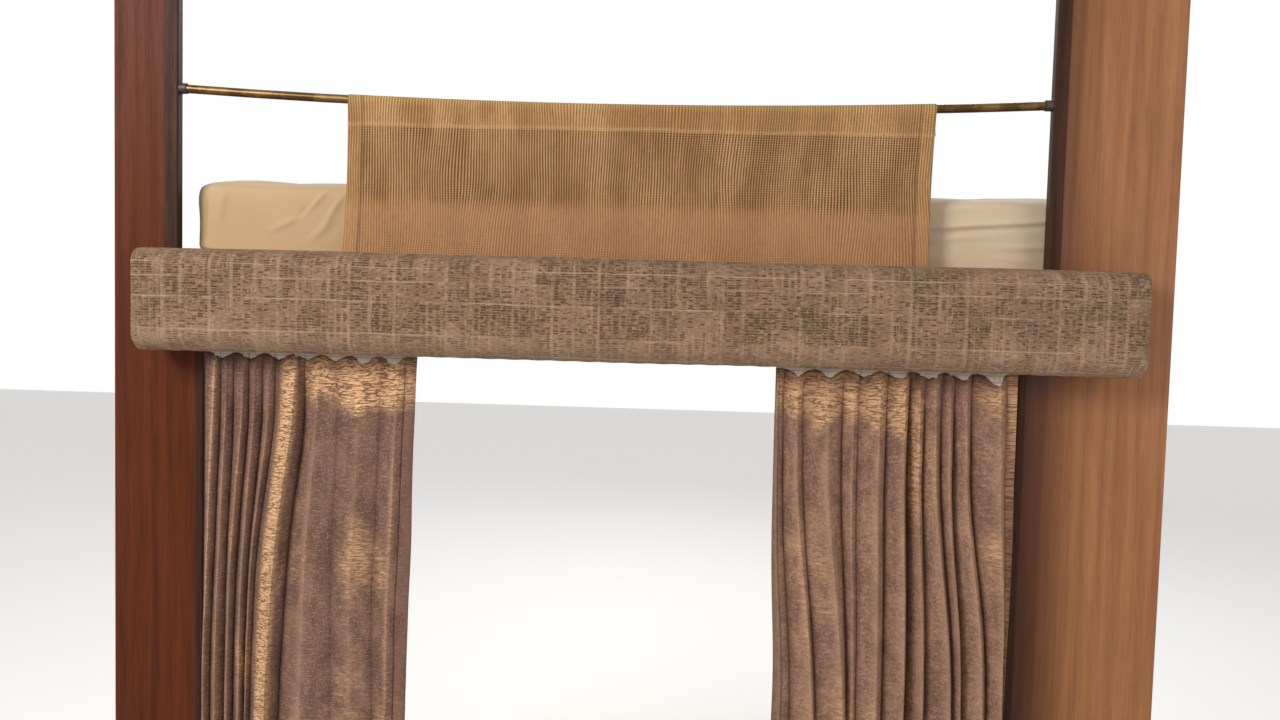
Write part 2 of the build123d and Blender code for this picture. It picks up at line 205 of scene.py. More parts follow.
def cloudy(vector, scale, detail=4.0, rough=0.5, distortion=0.0, stretch=(1, 1, 1)):
    """Fractal noise on a vector, drawn out along the axes given the smaller stretch."""
    inputs = {"Vector": mapped(vector, Scale=stretch), "Scale": scale, "Detail": detail, "Roughness": rough,
              "Distortion": distortion}
    return add(vector.id_data, "ShaderNodeTexNoise", inputs).outputs["Fac"]


def axes(vector):
    """The three parts of a vector."""
    return add(vector.id_data, "ShaderNodeSeparateXYZ", {0: vector}).outputs


def colour(red, green, blue):
    """A colour given in screen values from 0 to 255."""
    linear = [((c / 255 + 0.055) / 1.055) ** 2.4 if c > 10 else c / 3295 for c in (red, green, blue)]
    return (*linear, 1.0)


def start_group(name, inputs, outputs):
    """A shader node group with named sockets, and its own input and output ends."""
    group = bpy.data.node_groups.new(name, "ShaderNodeTree")
    for label, kind, value in inputs:
        socket = group.interface.new_socket(label, in_out="INPUT", socket_type="NodeSocket" + kind)
        if value is not None:
            socket.default_value = value
    for label, kind in outputs:
        group.interface.new_socket(label, in_out="OUTPUT", socket_type="NodeSocket" + kind)
    return group, group.nodes.new("NodeGroupInput").outputs, group.nodes.new("NodeGroupOutput")


def use_group(group, inputs):
    """Place a node group in a material with its own values."""
    return add(tree_of(*inputs.values()), "ShaderNodeGroup", inputs, node_tree=group).outputs


def surface(shader, base, rough, height, relief):
    """Feed a shader's colour, roughness and a bump whose full height is given in metres."""
    bump = add(shader.id_data, "ShaderNodeBump", {"Height": height, "Distance": relief, "Strength": 1.0})
    feed(shader, {"Base Color": base, "Roughness": rough, "Normal": bump.outputs[0]})


def object_finish(name):
    """A material, its shader and the place on the object, in metres from the bunk's origin."""
    finish, shader = new_finish(name)
    return finish, shader, add(shader.id_data, "ShaderNodeTexCoord").outputs["Object"]


wood_grain, grain_in, grain_out = start_group(
    "wood_grain",
    [
        ("Place", "Vector", None),
        ("Light", "Color", colour(170, 110, 60)),
        ("Dark", "Color", colour(100, 55, 30)),
        ("Figure", "Float", 9.0),
        ("Pores", "Float", 0.5),
    ],
    [("Color", "Color"), ("Height", "Float"), ("Shine", "Float")],
)
fibre = cloudy(grain_in["Place"], 260, 6, 0.6, 0.2, (1, 1, 0.035))
streak = cloudy(grain_in["Place"], 74, 5, 0.6, 0.35, (1, 1, 0.035))
shade = cloudy(grain_in["Place"], 7, 3, 0.5, 0.6, (1, 1, 0.22))
bent = cloudy(grain_in["Place"], 3.5, 2, 0.5, 0.0, (1, 1, 0.35))
rings = add(
    wood_grain,
    "ShaderNodeTexWave",
    {"Vector": mapped(grain_in["Place"], Scale=(1, 1, 0.09)), "Scale": grain_in["Figure"], "Distortion": 7.0,
     "Detail": 3.0, "Detail Scale": 1.6, "Phase Offset": bent},
    wave_type="BANDS",
    bands_direction="X",
).outputs["Fac"]
pores = cloudy(grain_in["Place"], 900, 2, 0.5, 0.0, (1, 1, 0.03))
pores = times(between(pores, 0.60, 0.72), grain_in["Pores"])
mixed = times(rings, 0.13, times(fibre, 0.44))
mixed = times(streak, 0.50, mixed)
mixed = between(times(shade, 0.34, mixed), 0.34, 1.04)
wood = tint(mixed, grain_in["Dark"], grain_in["Light"])
wood = tint(times(pores, 0.6), wood, grain_in["Dark"], "MULTIPLY")
feed(grain_out, {"Color": wood, "Height": calc("SUBTRACT", fibre, pores), "Shine": times(mixed, -0.12, 0.5)})

PANEL_LAYERS = 7
EDGE_SKIN = 0.0004
QUARTER_TURN = math.radians(90)
GRAIN_TURNS = {"z": (0, 0, 0), "x": (0, QUARTER_TURN, 0), "y": (QUARTER_TURN, 0, 0)}


def ply_sheets(across, low, high, count):
    """How many of a ply board's sheets lie below a place, and 0 or 1 for the way the grain runs there."""
    sheet = calc("DIVIDE", calc("SUBTRACT", across, low), (high - low) / count)
    return sheet, between(calc("PINGPONG", sheet, 1.0), 0.42, 0.58)


def sawn_edges(place, node_name, shown):
    """Bare ply layers on a panel's wall, top and floor edges, under the foil's own colour."""
    low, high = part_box(node_name)
    x, y, z = axes(place)
    wall = calc("GREATER_THAN", calc("ABSOLUTE", x), max(-low.x, high.x) - EDGE_SKIN)
    top = calc("GREATER_THAN", z, high.z - EDGE_SKIN)
    bare = most(wall, top, calc("LESS_THAN", z, low.z + EDGE_SKIN))
    ply = tint(ply_sheets(y, low.y, high.y, PANEL_LAYERS)[1], colour(150, 110, 72), colour(196, 158, 112))
    ply = tint(times(cloudy(place, 160, 4, 0.6), 0.5), ply, colour(120, 84, 52))
    return tint(bare, shown, ply)


def wood_finish(name, light, dark, along, figure=9.0, pore_depth=0.5, relief=0.0002, gloss=0.0, painted_shade=None,
                panel=None, mirror=0.22):
    """Wood whose grain runs along one axis; painted_shade gives a span in x over which a painted shade fades
    out, from full at its first end to none at its second.
    """
    finish, shader, unturned = object_finish(name)
    place = mapped(unturned, Rotation=GRAIN_TURNS[along])
    grain = use_group(wood_grain, {"Place": place, "Light": light, "Dark": dark, "Figure": figure,
                                   "Pores": pore_depth})
    shown = grain["Color"]
    # Painted shade: over the given span in x the colour is darkened, fading out from its first end to its
    # second.
    if painted_shade:
        full, gone, shade_tone = painted_shade
        shown = tint(between(axes(place)["X"], full, gone, 0.85, 0.0), shown, shade_tone, "MULTIPLY")
    if panel:
        shown = sawn_edges(unturned, panel, shown)
    surface(shader, shown, calc("SUBTRACT", grain["Shine"], gloss), grain["Height"], relief)
    feed(shader, {"Specular IOR Level": mirror})
    return finish


def dress(finish, *node_names):
    """Give CAD nodes their finish."""
    for node_name in node_names:
        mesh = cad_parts[node_name].data
        mesh.materials.clear()
        mesh.materials.append(finish)


dark_red_foil = wood_finish("foil_dark_red", colour(102, 52, 29), colour(66, 30, 16), "z", panel="panel_left",
                            mirror=0.07)
# The warm brown foil is painted darker toward the opening, as painted shade.
warm_brown_foil = wood_finish("foil_warm_brown", colour(162, 109, 70), colour(126, 78, 48), "z",
                              painted_shade=(0.735, 0.86, colour(96, 68, 62)), panel="panel_right")
dress(dark_red_foil, "panel_left")
dress(warm_brown_foil, "panel_right")

# Lippings. Solid strips of stained beech pushed on to the panels' opening edges by a
# groove, their noses rounded.
stained_beech = wood_finish("stained_beech", colour(74, 47, 31), colour(40, 24, 15), "z", figure=14.0,
                            pore_depth=0.8, gloss=-0.06, mirror=0.10)
dress(stained_beech, "lipping_upper_left", "lipping_upper_right", "lipping_lower_left", "lipping_lower_right")

# Bed platform. Sawn spruce ledges and joists, and a poplar ply board with air holes.
# The ledges are screwed to the cab roof's edge and the side walls.
spruce_light, spruce_dark = colour(214, 176, 124), colour(172, 126, 78)
spruce_along_x, spruce_along_y = (
    wood_finish("spruce_along_" + axis, spruce_light, spruce_dark, axis, figure=16.0, pore_depth=0.3,
                relief=0.0004)
    for axis in ("x", "y")
)
dress(spruce_along_x, "ledge_rear", "ledge_front")
dress(spruce_along_y, "ledge_left", "ledge_right", "joist_1", "joist_2", "joist_3")


def apart(value, other):
    """How far two values lie apart."""
    return calc("ABSOLUTE", calc("SUBTRACT", value, other))


PLY_SHEETS = 5
board_low, board_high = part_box("bunk_board")
poplar_ply, shader, place = object_finish("poplar_ply")
board_grain = {"Place": mapped(place, Rotation=GRAIN_TURNS["x"]), "Light": colour(216, 184, 136),
               "Dark": colour(180, 138, 92), "Figure": 5.0, "Pores": 0.4}
face_grain = use_group(wood_grain, board_grain)
sheet, cross_sheet = ply_sheets(axes(place)["Z"], board_low.z, board_high.z, PLY_SHEETS)
edge_tone = tint(cross_sheet, colour(150, 108, 66), colour(216, 184, 136))
in_edge = between(apart(sheet, PLY_SHEETS / 2), 2.36, 2.44, 1.0, 0.0)
ply_tone = tint(times(in_edge, 0.65), face_grain["Color"], edge_tone)
surface(shader, ply_tone, 0.62, face_grain["Height"], 0.0003)
dress(poplar_ply, "bunk_board")

zinc, shader, place = object_finish("zinc_screw")
patina = cloudy(place, 700, 4, 0.6)
surface(shader, tint(patina, colour(150, 146, 132), colour(206, 200, 182)), 0.34, patina, 0.0001)
feed(shader, {"Metallic": 0.9})

SCREW_RADIUS = 0.0042
SCREW_HEAD = 0.0012
SCREW_RECESS = 0.0007
LEDGE_TOP = 0.045
LEDGE_FACE = 0.955
SEAT_SCREW_X = 0.75
SIDE_SCREW_Y = (0.17, 0.97)
JOIST_X = (-0.46, 0.0, 0.46)
BOARD_SCREW_Y = (0.12, 0.37, 0.62, 0.87, 1.12, 1.33)
BOARD_SCREW_LEVEL = 0.0572


def screw_head(form, centre, outward):
    """A flat screw's head with its middle sunk, seated in a timber."""
    turn = Vector(outward).to_track_quat("Z", "Y").to_matrix().to_4x4()
    made = bmesh.ops.create_cone(form, cap_ends=True, segments=14, radius1=SCREW_RADIUS,
                                 radius2=SCREW_RADIUS * 0.8, depth=SCREW_HEAD)["verts"]
    top = [f for f in form.faces if all(v in made for v in f.verts) and f.normal.z > 0.9]
    sunk = bmesh.ops.inset_individual(form, faces=top, thickness=SCREW_RADIUS * 0.35)
    bmesh.ops.translate(form, verts=top[0].verts, vec=(0, 0, -SCREW_RECESS))
    made = list(set(made) | {v for f in sunk["faces"] for v in f.verts} | set(top[0].verts))
    bmesh.ops.transform(form, verts=made, matrix=Matrix.Translation(centre) @ turn)


screws = bmesh.new()
for x in (-SEAT_SCREW_X, SEAT_SCREW_X):
    screw_head(screws, (x, 0.0, LEDGE_TOP), (0, 0, 1))
for side in (-1, 1):
    for y in SIDE_SCREW_Y:
        screw_head(screws, (side * LEDGE_FACE, y, LEDGE_TOP / 2), (-side, 0, 0))
for x in JOIST_X:
    for y in BOARD_SCREW_Y:
        screw_head(screws, (x, y, BOARD_SCREW_LEVEL), (0, 0, 1))
finish_piece("platform_screws", screws, zinc, smooth=False)

# Mattress. A foam block in a fitted cotton sheet, its forward corners cut round to suit
# the vehicle's nose. The sheet is drawn under it, so it strains and creases at the corners.
MATTRESS_VOXEL = 0.014
MATTRESS_SLACK = 0.006
REAR_LIMIT = -0.0225
BEHIND_PANELS = -0.0120
BETWEEN_LIPPINGS = (-0.855, 0.745)
FINER_DEPTH = 0.045
SHEET_FOLDS = (
    # a face's normal and the two axes across it, then each fold's start, end, width and height
    ((0, -1, 0), 0, 2, (
        ((0.44, 0.127), (0.86, 0.158), 0.0052, 0.0050),
        ((0.48, 0.119), (0.78, 0.144), 0.0065, -0.0026),
        ((0.50, 0.108), (0.645, 0.121), 0.0050, 0.0026),
        ((0.655, 0.100), (0.80, 0.104), 0.0060, 0.0028),
        ((0.46, 0.084), (0.585, 0.078), 0.0070, 0.0022),
        ((0.67, 0.080), (0.76, 0.072), 0.0060, 0.0020),
        ((0.50, 0.166), (0.74, 0.186), 0.0090, 0.0030),
        ((-0.592, 0.178), (-0.640, 0.128), 0.0050, 0.0040),
        ((-0.612, 0.160), (-0.655, 0.118), 0.0060, -0.0028),
        ((-0.640, 0.128), (-0.700, 0.100), 0.0060, 0.0030),
        ((-0.560, 0.172), (-0.600, 0.110), 0.0055, 0.0030),
        ((-0.575, 0.130), (-0.625, 0.080), 0.0070, 0.0026),
        ((-0.826, 0.182), (-0.830, 0.070), 0.0040, -0.0038),
        ((-0.790, 0.178), (-0.802, 0.110), 0.0080, 0.0028),
        ((-0.40, 0.170), (-0.20, 0.095), 0.018, 0.0040),
        ((-0.10, 0.165), (0.10, 0.100), 0.018, 0.0035),
    )),
    ((0, 0, 1), 0, 1, (
        ((-0.80, 0.10), (-0.45, 0.42), 0.030, 0.0050),
        ((-0.70, 0.06), (-0.20, 0.22), 0.026, 0.0045),
        ((0.78, 0.08), (0.40, 0.40), 0.030, 0.0050),
        ((0.62, 0.05), (0.25, 0.16), 0.026, 0.0045),
        ((-0.60, 1.20), (-0.35, 0.80), 0.032, 0.0050),
        ((0.62, 1.22), (0.30, 0.86), 0.032, 0.0050),
        ((-0.30, 0.50), (0.35, 0.62), 0.034, 0.0040),
        ((0.05, 0.75), (0.20, 1.15), 0.034, 0.0040),
    )),
    ((-1, 0, 0), 1, 2, (
        ((0.10, 0.16), (0.42, 0.11), 0.018, 0.0040),
        ((0.70, 0.15), (0.40, 0.12), 0.020, 0.0032),
    )),
    ((1, 0, 0), 1, 2, (
        ((0.12, 0.16), (0.46, 0.11), 0.018, 0.0040),
        ((0.72, 0.12), (1.05, 0.15), 0.020, 0.0032),
    )),
)


def settle(piece, pinned, pressure, cap, frames=20):
    """Swell a padded form with a short cloth simulation and hold every point near its start."""
    start = [v.co.copy() for v in piece.data.vertices]
    piece.vertex_groups.new(name="held").add(pinned, 1.0, "REPLACE")
    cloth = piece.modifiers.new("swell", "CLOTH")
    cloth.settings.use_pressure = True
    cloth.settings.uniform_pressure_force = pressure
    cloth.settings.effector_weights.gravity = 0
    cloth.settings.vertex_group_mass = "held"
    cloth.settings.tension_stiffness = 12
    cloth.settings.compression_stiffness = 12
    cloth.settings.bending_stiffness = 0.6
    cloth.collision_settings.use_collision = False
    cloth.point_cache.frame_end = frames
    for step in range(1, frames + 1):
        bpy.context.scene.frame_set(step)
    settled = piece.evaluated_get(bpy.context.evaluated_depsgraph_get())
    reached = [v.co.copy() for v in settled.data.vertices]
    piece.modifiers.clear()
    piece.vertex_groups.clear()
    bpy.context.scene.frame_set(1)
    for vertex, old, new in zip(piece.data.vertices, start, reached):
        move = new - old
        if move.length > cap:
            move *= cap / move.length
        vertex.co = old + move
    piece.data.update()


def apply_modifier(piece, kind, **settings):
    """Make what a modifier gives the piece's own mesh."""
    modifier = piece.modifiers.new("applied", kind)
    for key, value in settings.items():
        setattr(modifier, key, value)
    made = bpy.data.meshes.new_from_object(piece.evaluated_get(bpy.context.evaluated_depsgraph_get()))
    piece.modifiers.clear()
    piece.data = made
    return made


def clamp(value):
    """A number held between 0 and 1."""
    return min(1.0, max(0.0, value))


def crease(point, start, end, width, height):
    """How far a long soft fold between two places on a face lifts the cloth at a point."""
    place = point - Vector(start)
    line = Vector(end) - Vector(start)
    reach = clamp(place.dot(line) / line.length_squared)
    away = (place - line * reach).length
    return height * math.sin(math.pi * (0.08 + 0.84 * reach)) * math.exp(-((away / width) ** 2))


def waves(x, y, z, height):
    """A low uneven ripple of a given height at a place in noise."""
    return noise.noise(Vector((x, y, z))) * height


mattress_low, mattress_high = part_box("mattress")
mattress_form = bmesh.new()
mattress_form.from_mesh(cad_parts["mattress"].data)
bmesh.ops.remove_doubles(mattress_form, verts=mattress_form.verts, dist=0.00001)
mattress_middle = (mattress_low + mattress_high) / 2
mattress_size = mattress_high - mattress_low
for vertex in mattress_form.verts:
    for axis in (0, 1):
        share = 1 - 2 * MATTRESS_SLACK / mattress_size[axis]
        vertex.co[axis] = mattress_middle[axis] + (vertex.co[axis] - mattress_middle[axis]) * share
    vertex.co.z = mattress_low.z + (vertex.co.z - mattress_low.z) * (1 - MATTRESS_SLACK / mattress_size.z)

sheet_cotton, shader, place = object_finish("sheet_cotton")
soft_shade = cloudy(place, 3.2, 3, 0.5, 0.4)
wear = cloudy(place, 14, 4, 0.6, 0.3)
# Painted light: the sheet is painted darker and warmer toward the left, where it lies in warm shade, and
# whiter toward the right.
cream = tint(between(axes(place)["X"], 0.05, 0.62), colour(189, 158, 119), colour(204, 181, 153))
cream = tint(between(soft_shade, 0.35, 0.7), tint(0.16, cream, colour(156, 124, 90)), cream)
cream = tint(times(between(wear, 0.45, 0.7), 0.16), cream, colour(176, 148, 114))
fine_crease = cloudy(place, 8, 4, 0.5, 0.5, (0.6, 1, 1.3))
percale = cloudy(place, 1500, 2, 0.6)
surface(shader, cream, 0.86, times(percale, 0.06, fine_crease), 0.0022)
feed(shader, {"Sheen Weight": 0.15})

mattress = finish_piece("mattress_in_sheet", mattress_form, sheet_cotton, body=None)
evened = apply_modifier(mattress, "REMESH", mode="VOXEL", voxel_size=MATTRESS_VOXEL)
lying = [v.index for v in evened.vertices if v.co.z < mattress_low.z + 0.006]
settle(mattress, lying, pressure=3.0, cap=MATTRESS_SLACK + 0.004)
smoothed = apply_modifier(mattress, "SUBSURF", levels=1, render_levels=1)
finer = bmesh.new()
finer.from_mesh(smoothed)
rear_edges = [e for e in finer.edges if all(v.co.y < mattress_low.y + FINER_DEPTH for v in e.verts)]
bmesh.ops.subdivide_edges(finer, edges=rear_edges, cuts=1, use_grid_fill=True)
finer.to_mesh(smoothed)
finer.free()
sheet_normals = [v.normal.copy() for v in smoothed.vertices]
left_lipping, right_lipping = BETWEEN_LIPPINGS
for vertex, normal in zip(smoothed.vertices, sheet_normals):
    lift = 0.0
    for face_normal, across, along, folds in SHEET_FOLDS:
        facing = normal.dot(face_normal)
        if facing > 0.3:
            on_face = Vector((vertex.co[across], vertex.co[along]))
            lift += sum(crease(on_face, *fold) for fold in folds) * facing
    x, y, z = vertex.co
    lift += waves(x * 5, y * 5, z * 11, 0.0022) + waves(x * 14, y * 14, z * 20, 0.0009)
    vertex.co += normal * lift * clamp((z - mattress_low.z) / 0.03)
    in_opening = left_lipping < vertex.co.x < right_lipping
    vertex.co.y = max(vertex.co.y, REAR_LIMIT if in_opening else BEHIND_PANELS)
for face in smoothed.polygons:
    face.use_smooth = True
smoothed.update()
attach(mattress, "bunk")
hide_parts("mattress")

# Beam core. A box of planed spruce that spans both panels. Its underside is bare behind
# the cover's foot and carries the curtain track.
dress(spruce_along_x, "beam_core")

# Beam cover. Woven upholstery over foam, drawn round the top, front and foot of the
# core and over its ends, and stapled out of sight behind the foot and the top edge.
core_low, core_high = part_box("beam_core")
beam_low, beam_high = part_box("beam_padding")
FOOT_RETURN = 0.066
TOP_RADIUS = 0.026
FOOT_RADIUS = 0.038
BACK_RADIUS = 0.005
END_RADIUS = 0.009
COVER_STEP = 0.008
COVER_SLACK = 0.0015
CORE_SKIN = 0.0003
FOOT_LIP = 0.008
END_RINGS = 4
CAP_RINGS = 9
CAP_REACH = 0.11
PUCKER_PITCH, PUCKER_REACH, PUCKER_HEIGHT = 0.045, 0.012, 0.0006


def bend_points(centre, radius, first, last, steps):
    """Points round part of a circle in the section, angles in degrees from +Y to +Z."""
    turns = [math.radians(first + (last - first) * i / steps) for i in range(steps + 1)]
    return [Vector((centre[0] + radius * math.cos(a), centre[1] + radius * math.sin(a))) for a in turns]


def run_points(start, end, step):
    """Points along a straight run of the section, its two ends left out."""
    start, end = Vector(start), Vector(end)
    count = max(2, round((end - start).length / step))
    return [start.lerp(end, i / count) for i in range(1, count)]


def run_lengths(points):
    """How far along a row of points each of them lies."""
    lengths = [0.0]
    for before, after in zip(points, points[1:]):
        lengths.append(lengths[-1] + (after - before).length)
    return lengths


cover_front = beam_low.y + COVER_SLACK
cover_top = beam_high.z - COVER_SLACK
cover_foot = beam_low.z + COVER_SLACK
cover_back = beam_high.y
foot_back = beam_low.y + FOOT_RETURN
girth = [Vector((cover_back, core_high.z + CORE_SKIN))]
girth += run_points(girth[-1], (cover_back, cover_top - BACK_RADIUS), 0.005)
girth += bend_points((cover_back - BACK_RADIUS, cover_top - BACK_RADIUS), BACK_RADIUS, 0, 90, 3)
girth += run_points(girth[-1], (cover_front + TOP_RADIUS, cover_top), COVER_STEP)
girth += bend_points((cover_front + TOP_RADIUS, cover_top - TOP_RADIUS), TOP_RADIUS, 90, 180, 6)
girth += run_points(girth[-1], (cover_front, cover_foot + FOOT_RADIUS), COVER_STEP)
girth += bend_points((cover_front + FOOT_RADIUS, cover_foot + FOOT_RADIUS), FOOT_RADIUS, 180, 270, 8)
girth += run_points(girth[-1], (foot_back, cover_foot), COVER_STEP)
girth += [Vector((foot_back, z)) for z in (cover_foot, cover_foot + FOOT_LIP, core_low.z - CORE_SKIN)]
cap_end = Vector((cover_back, core_low.z))
outline = girth + run_points(girth[-1], cap_end, COVER_STEP) + [cap_end]
cap_heart = Vector((cover_back, (core_low.z + core_high.z) / 2))
girth_length = run_lengths(outline)

half_length = (beam_high.x - beam_low.x) / 2 - COVER_SLACK
straight_half = half_length - END_RADIUS
length_steps = round(2 * straight_half / COVER_STEP)
station_step = 2 * straight_half / length_steps
stations = [(-straight_half + station_step * i, 0.0, 0.0, 0.0) for i in range(length_steps + 1)]


def cover_columns(side):
    """Rings that close one end: x, how far in they are drawn, share of the way to the heart, run of cloth."""
    columns = [(side * straight_half, 0.0, 0.0, 0.0)]
    for ring in range(1, END_RINGS + 1):
        turn = math.pi / 2 * ring / END_RINGS
        x = side * (straight_half + END_RADIUS * math.sin(turn))
        columns.append((x, END_RADIUS * (1 - math.cos(turn)), 0.0, END_RADIUS * turn))
    for ring in range(1, CAP_RINGS + 1):
        share = ring / CAP_RINGS
        columns.append((side * half_length, END_RADIUS, share, CAP_REACH * share + END_RADIUS * math.pi / 2))
    return columns


def woven_grid(form, columns, rows):
    """A new sheet of quads, as a list of each point with its column and its row."""
    made = bmesh.ops.create_grid(form, x_segments=columns, y_segments=rows, size=1)["verts"]
    return [(v, round((v.co.x + 1) / 2 * columns), round((v.co.y + 1) / 2 * rows)) for v in made]


def lay_weave(weave, spots):
    """Set the weave map on a sheet from each point's place, in metres, on the flat cloth."""
    for face in {f for v in spots for f in v.link_faces}:
        for loop in face.loops:
            loop[weave].uv = spots[loop.vert]


cover_form = bmesh.new()
weave_map = cover_form.loops.layers.uv.new("weave")
for columns, points in ((stations, girth), (cover_columns(-1), outline), (cover_columns(1), outline)):
    spots = {}
    for vertex, i, j in woven_grid(cover_form, len(columns) - 1, len(points) - 1):
        x, drawn_in, to_heart, run = columns[i]
        point = points[j]
        if drawn_in:
            inward = cap_heart - point
            point = (point + inward * (drawn_in / max(inward.length, drawn_in))).lerp(cap_heart, to_heart)
        vertex.co = (x, point.x, point.y)
        spots[vertex] = (x + math.copysign(run, x), girth_length[j])
    lay_weave(weave_map, spots)
bmesh.ops.remove_doubles(cover_form, verts=cover_form.verts, dist=0.0004)
bmesh.ops.recalc_face_normals(cover_form, faces=cover_form.faces)
front_faces = [f for f in cover_form.faces if abs(f.calc_center_median().y - cover_front) < 0.002]
if front_faces and front_faces[0].normal.y > 0:
    bmesh.ops.reverse_faces(cover_form, faces=cover_form.faces)


def yarns(place, along, around, detail=2, rough=0.5, distortion=0.0, through=1):
    """Noise on a cloth's map, with about so many marks a metre along and around."""
    return cloudy(place, 1.0, detail, rough, distortion, (along, around, through))


def flat_place(along, around, lot=0.0):
    """A place on the flat cloth as a vector."""
    return add(along.id_data, "ShaderNodeCombineXYZ", {0: along, 1: around, 2: lot}).outputs[0]


def bars(value, count):
    """Distance to the nearest of a row of unevenly spaced bars, and a value for each span between."""
    found = []
    for feature, output in (("DISTANCE_TO_EDGE", "Distance"), ("F1", "Color")):
        node = add(value.id_data, "ShaderNodeTexVoronoi", {"W": value, "Scale": count, "Randomness": 0.85},
                   voronoi_dimensions="1D", feature=feature)
        found.append(node.outputs[output])
    return found


def parts_of(colours):
    """The three parts of a colour."""
    return add(colours.id_data, "ShaderNodeSeparateColor", {0: colours}).outputs


DASH_COLUMN, DASH_ROW = 0.0118, 0.0048
beam_weave, weave_in, weave_out = start_group(
    "beam_weave",
    [("Along", "Float", 0.0), ("Around", "Float", 0.0)],
    [("Color", "Color"), ("Height", "Float")],
)
along, around = weave_in["Along"], weave_in["Around"]
cloth = flat_place(along, around)
drifted = times(cloudy(cloth, 9, 2, 0.5), 0.006, around)
warp_edge, warp_span = bars(along, 24)
weft_edge, weft_span = bars(drifted, 24)
fine_edge = bars(along, 72)[0]
thread = yarns(cloth, 90, 520, 3, 0.62, 0.1)
speck_drift = yarns(cloth, 46, 38)
warp_bar = times(between(warp_edge, 0.05, 0.10, 1.0, 0.0), between(yarns(cloth, 30, 12), 0.40, 0.56))
fine_bar = times(between(fine_edge, 0.10, 0.24, 1.0, 0.0), between(yarns(cloth, 24, 18), 0.44, 0.60))
line_here = between(yarns(cloth, 6, 70, 3, 0.6), 0.40, 0.56)
weft_line = times(between(weft_edge, 0.016, 0.042, 1.0, 0.0), line_here)
block = calc("FRACT", calc("ADD", parts_of(warp_span)[0], parts_of(weft_span)[1]))

# Dark dashes in rows between the bars, each with its own length, weight and place.
column_count = times(speck_drift, 1.5, times(along, 1 / DASH_COLUMN))
row_count = times(speck_drift, 0.5, times(drifted, 1 / DASH_ROW))
row_number = calc("FLOOR", row_count)
cell = flat_place(calc("FLOOR", column_count), row_number)
lot = add(beam_weave, "ShaderNodeTexWhiteNoise", {"Vector": cell}, noise_dimensions="2D").outputs
lot_length, lot_depth = parts_of(lot["Color"])[:2]
row_noise = yarns(flat_place(times(along, 66.0), times(row_number, 9.7)), 1, 1, 3, 0.6)
in_column = apart(calc("FRACT", column_count), 0.5)
in_row = apart(calc("FRACT", row_count), 0.5)
dash_share = times(block, 0.55, 0.26)
dash_reach = times(row_noise, 0.30, times(lot_length, 0.24, 0.17))
dash_depth = times(lot_depth, 0.14, 0.15)
dash = between(calc("SUBTRACT", dash_share, lot["Value"]), 0.0, 0.02)
dash = times(dash, between(calc("SUBTRACT", in_column, dash_reach), -0.05, 0.03, 1.0, 0.0))
dash = times(dash, between(calc("SUBTRACT", in_row, dash_depth), -0.06, 0.10, 1.0, 0.0))
dash = times(dash, between(thread, 0.34, 0.52, 0.55, 1.0))
pale = most(warp_bar, fine_bar, weft_line)
dash = times(dash, times(pale, -0.8, 1.0))

speck = yarns(cloth, 420, 620, 2, 0.7)
nick = times(between(yarns(cloth, 125, 380, 3, 0.6), 0.53, 0.60), times(block, 0.5, 0.25))
pale_thread = between(thread, 0.36, 0.60, 0.35, 1.0)
yarn = tint(between(cloudy(cloth, 13, 3, 0.5), 0.35, 0.65), colour(122, 95, 74), colour(142, 113, 91))
for share, strength, tone in (
    (between(block, 0.3, 0.95), 0.35, colour(116, 94, 66)),
    (between(thread, 0.50, 0.66), 0.6, colour(172, 143, 114)),
    (between(thread, 0.48, 0.34), 0.5, colour(98, 74, 54)),
    (between(speck, 0.54, 0.70), 0.5, colour(86, 62, 46)),
    (nick, 1.0, colour(70, 48, 35)),
    (between(row_noise, 0.44, 0.34, 0.0, 1.0), 0.34, colour(180, 152, 126)),
    (dash, 0.74, colour(60, 40, 29)),
    (times(warp_bar, pale_thread), 0.32, colour(178, 150, 122)),
    (times(fine_bar, pale_thread), 0.24, colour(170, 142, 112)),
    (weft_line, 0.42, colour(190, 162, 132)),
):
    yarn = tint(times(share, strength), yarn, tone)
ribs = calc("PINGPONG", times(around, 900.0), 1.0)
lift = times(ribs, 0.25, times(pale, 0.5))
feed(weave_out, {"Color": yarn, "Height": calc("SUBTRACT", times(speck, 0.5, lift), dash)})


def woven_finish(name):
    """A material, its shader, the weave map and the map's two parts."""
    finish, shader = new_finish(name)
    flat = add(shader.id_data, "ShaderNodeUVMap", uv_map="weave").outputs[0]
    return finish, shader, flat, axes(flat)["X"], axes(flat)["Y"]


upholstery, shader, flat, along, around = woven_finish("beam_upholstery")
threads = use_group(beam_weave, {"Along": along, "Around": around})
# Painted light: the rounded foot is painted paler, where it catches light from below.
lit_foot = between(around, 0.225, 0.285)
painted_foot_light = tint(times(lit_foot, 0.20), threads["Color"], colour(184, 152, 124))
surface(shader, painted_foot_light, 0.92, threads["Height"], 0.0007)
feed(shader, {"Sheen Weight": 0.12, "Sheen Roughness": 0.5, "Sheen Tint": colour(206, 176, 144),
              "Specular IOR Level": 0.2})

